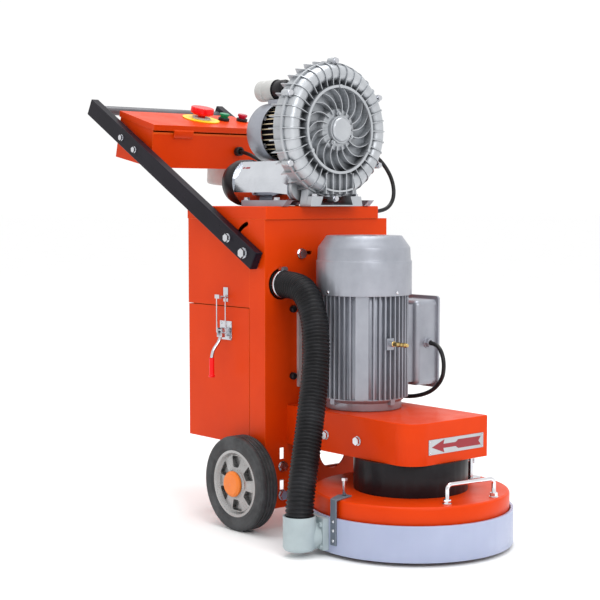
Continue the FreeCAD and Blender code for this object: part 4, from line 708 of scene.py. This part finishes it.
def build_hose_clamp():
    """Steel band round the hose where it enters the column, with its worm-screw housing on top."""
    x, z = DUST_HOSE[0][0], DUST_HOSE[0][2]
    mesh = bmesh.new()
    rings = []
    for y, radius in ((-CLAMP_HALF, CLAMP_INNER_R), (-CLAMP_HALF, CLAMP_OUTER_R),
                      (CLAMP_HALF, CLAMP_OUTER_R), (CLAMP_HALF, CLAMP_INNER_R)):
        centre = at(x, CLAMP_Y + y, z)
        turns = [math.tau * k / CLAMP_SIDES for k in range(CLAMP_SIDES)]
        rings.append([mesh.verts.new(centre + Vector((math.cos(turn), 0, math.sin(turn))) * radius)
                      for turn in turns])
    for first, second in zip(rings, rings[1:] + rings[:1]):
        bridge(mesh, first, second)
    bmesh.ops.recalc_face_normals(mesh, faces=mesh.faces)
    band = new_object("hose_band", finished(mesh, "hose_band"), "zinc")
    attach(band, "chassis")
    foot = z + HOSE_R / MM + CLAMP_SCREW_RISE
    block = [at(x + across, CLAMP_Y - CLAMP_HALF, foot + up) for across, up in CLAMP_SCREW_OUTLINE]
    block_mesh = plate_mesh("hose_band_screw", block, Y_AXIS * 2 * CLAMP_HALF * MM)
    screw = new_object("hose_band_screw", block_mesh, "zinc", smooth=False)
    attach(screw, "chassis")


build_strap_rivets()
build_direction_label()
build_silencer_label()
build_cowl_screws()
build_hose_clamp()


# ---- stage, light and camera ------------------------------------------------------------------
FLOOR_HALF = 70.0


def build_stage():
    """Pale floor that reaches past the horizon of every view."""
    corners = [(-FLOOR_HALF, -FLOOR_HALF, 0), (FLOOR_HALF, -FLOOR_HALF, 0), (FLOOR_HALF, FLOOR_HALF, 0),
               (-FLOOR_HALF, FLOOR_HALF, 0)]
    mesh = bpy.data.meshes.new("floor")
    mesh.from_pydata(corners, [], [(0, 1, 2, 3)])
    floor = bpy.data.objects.new("floor", mesh)
    bpy.context.collection.objects.link(floor)
    material, shader = principled("floor", Roughness=0.9)
    tint = ramp(material, noise(material, scale=3.0), [(0.3, grey(0.95)), (0.7, grey(0.97))])
    link(material, tint, shader.inputs["Base Color"])
    mesh.materials.append(material)


def area_light(name, place, target, size, power):
    data = bpy.data.lights.new(name, "AREA")
    data.shape = "RECTANGLE"
    data.size, data.size_y = size
    data.energy = power
    light = bpy.data.objects.new(name, data)
    bpy.context.collection.objects.link(light)
    light.location = place
    light.rotation_mode = "QUATERNION"
    light.rotation_quaternion = (Vector(target) - Vector(place)).to_track_quat("-Z", "Y")


LIGHT_TARGET = (0, 0, 0.55)
SKY_STRENGTH = 1.04


def build_lights():
    """White surroundings, a soft key light and a soft top light."""
    world = bpy.data.worlds.new("studio")
    bpy.context.scene.world = world
    world.use_nodes = True
    background = world.node_tree.nodes["Background"]
    background.inputs["Color"].default_value = (1, 1, 1, 1)
    background.inputs["Strength"].default_value = SKY_STRENGTH
    area_light("key", place=(-1.2, -3.4, 2.6), target=LIGHT_TARGET, size=(1.6, 1.6), power=45)
    area_light("top", place=(0.3, 0.0, 3.6), target=LIGHT_TARGET, size=(2.0, 2.0), power=60)


CAMERA_OFFSET = Vector((-2.2387, -2.2613, 0.7671))
CAMERA_AZIMUTH = math.radians(40.23)
CAMERA_PITCH = math.radians(3.97)
CAMERA_LENS, SENSOR_WIDTH = 85.53, 36.0
VIEW_DEPTH = 300.0


def build_camera():
    """The viewpoint, set out from the grinding spindle's axis."""
    data = bpy.data.cameras.new("camera")
    data.lens = CAMERA_LENS
    data.sensor_width = SENSOR_WIDTH
    data.clip_end = VIEW_DEPTH
    camera = bpy.data.objects.new("camera", data)
    bpy.context.collection.objects.link(camera)
    camera.location = SPINDLE + CAMERA_OFFSET
    level = math.cos(CAMERA_PITCH)
    look = Vector((math.sin(CAMERA_AZIMUTH) * level, math.cos(CAMERA_AZIMUTH) * level,
                   -math.sin(CAMERA_PITCH)))
    camera.rotation_mode = "QUATERNION"
    camera.rotation_quaternion = look.to_track_quat("-Z", "Y")
    bpy.context.scene.camera = camera


build_stage()
build_lights()
build_camera()
bpy.context.scene.view_settings.view_transform = "Standard"
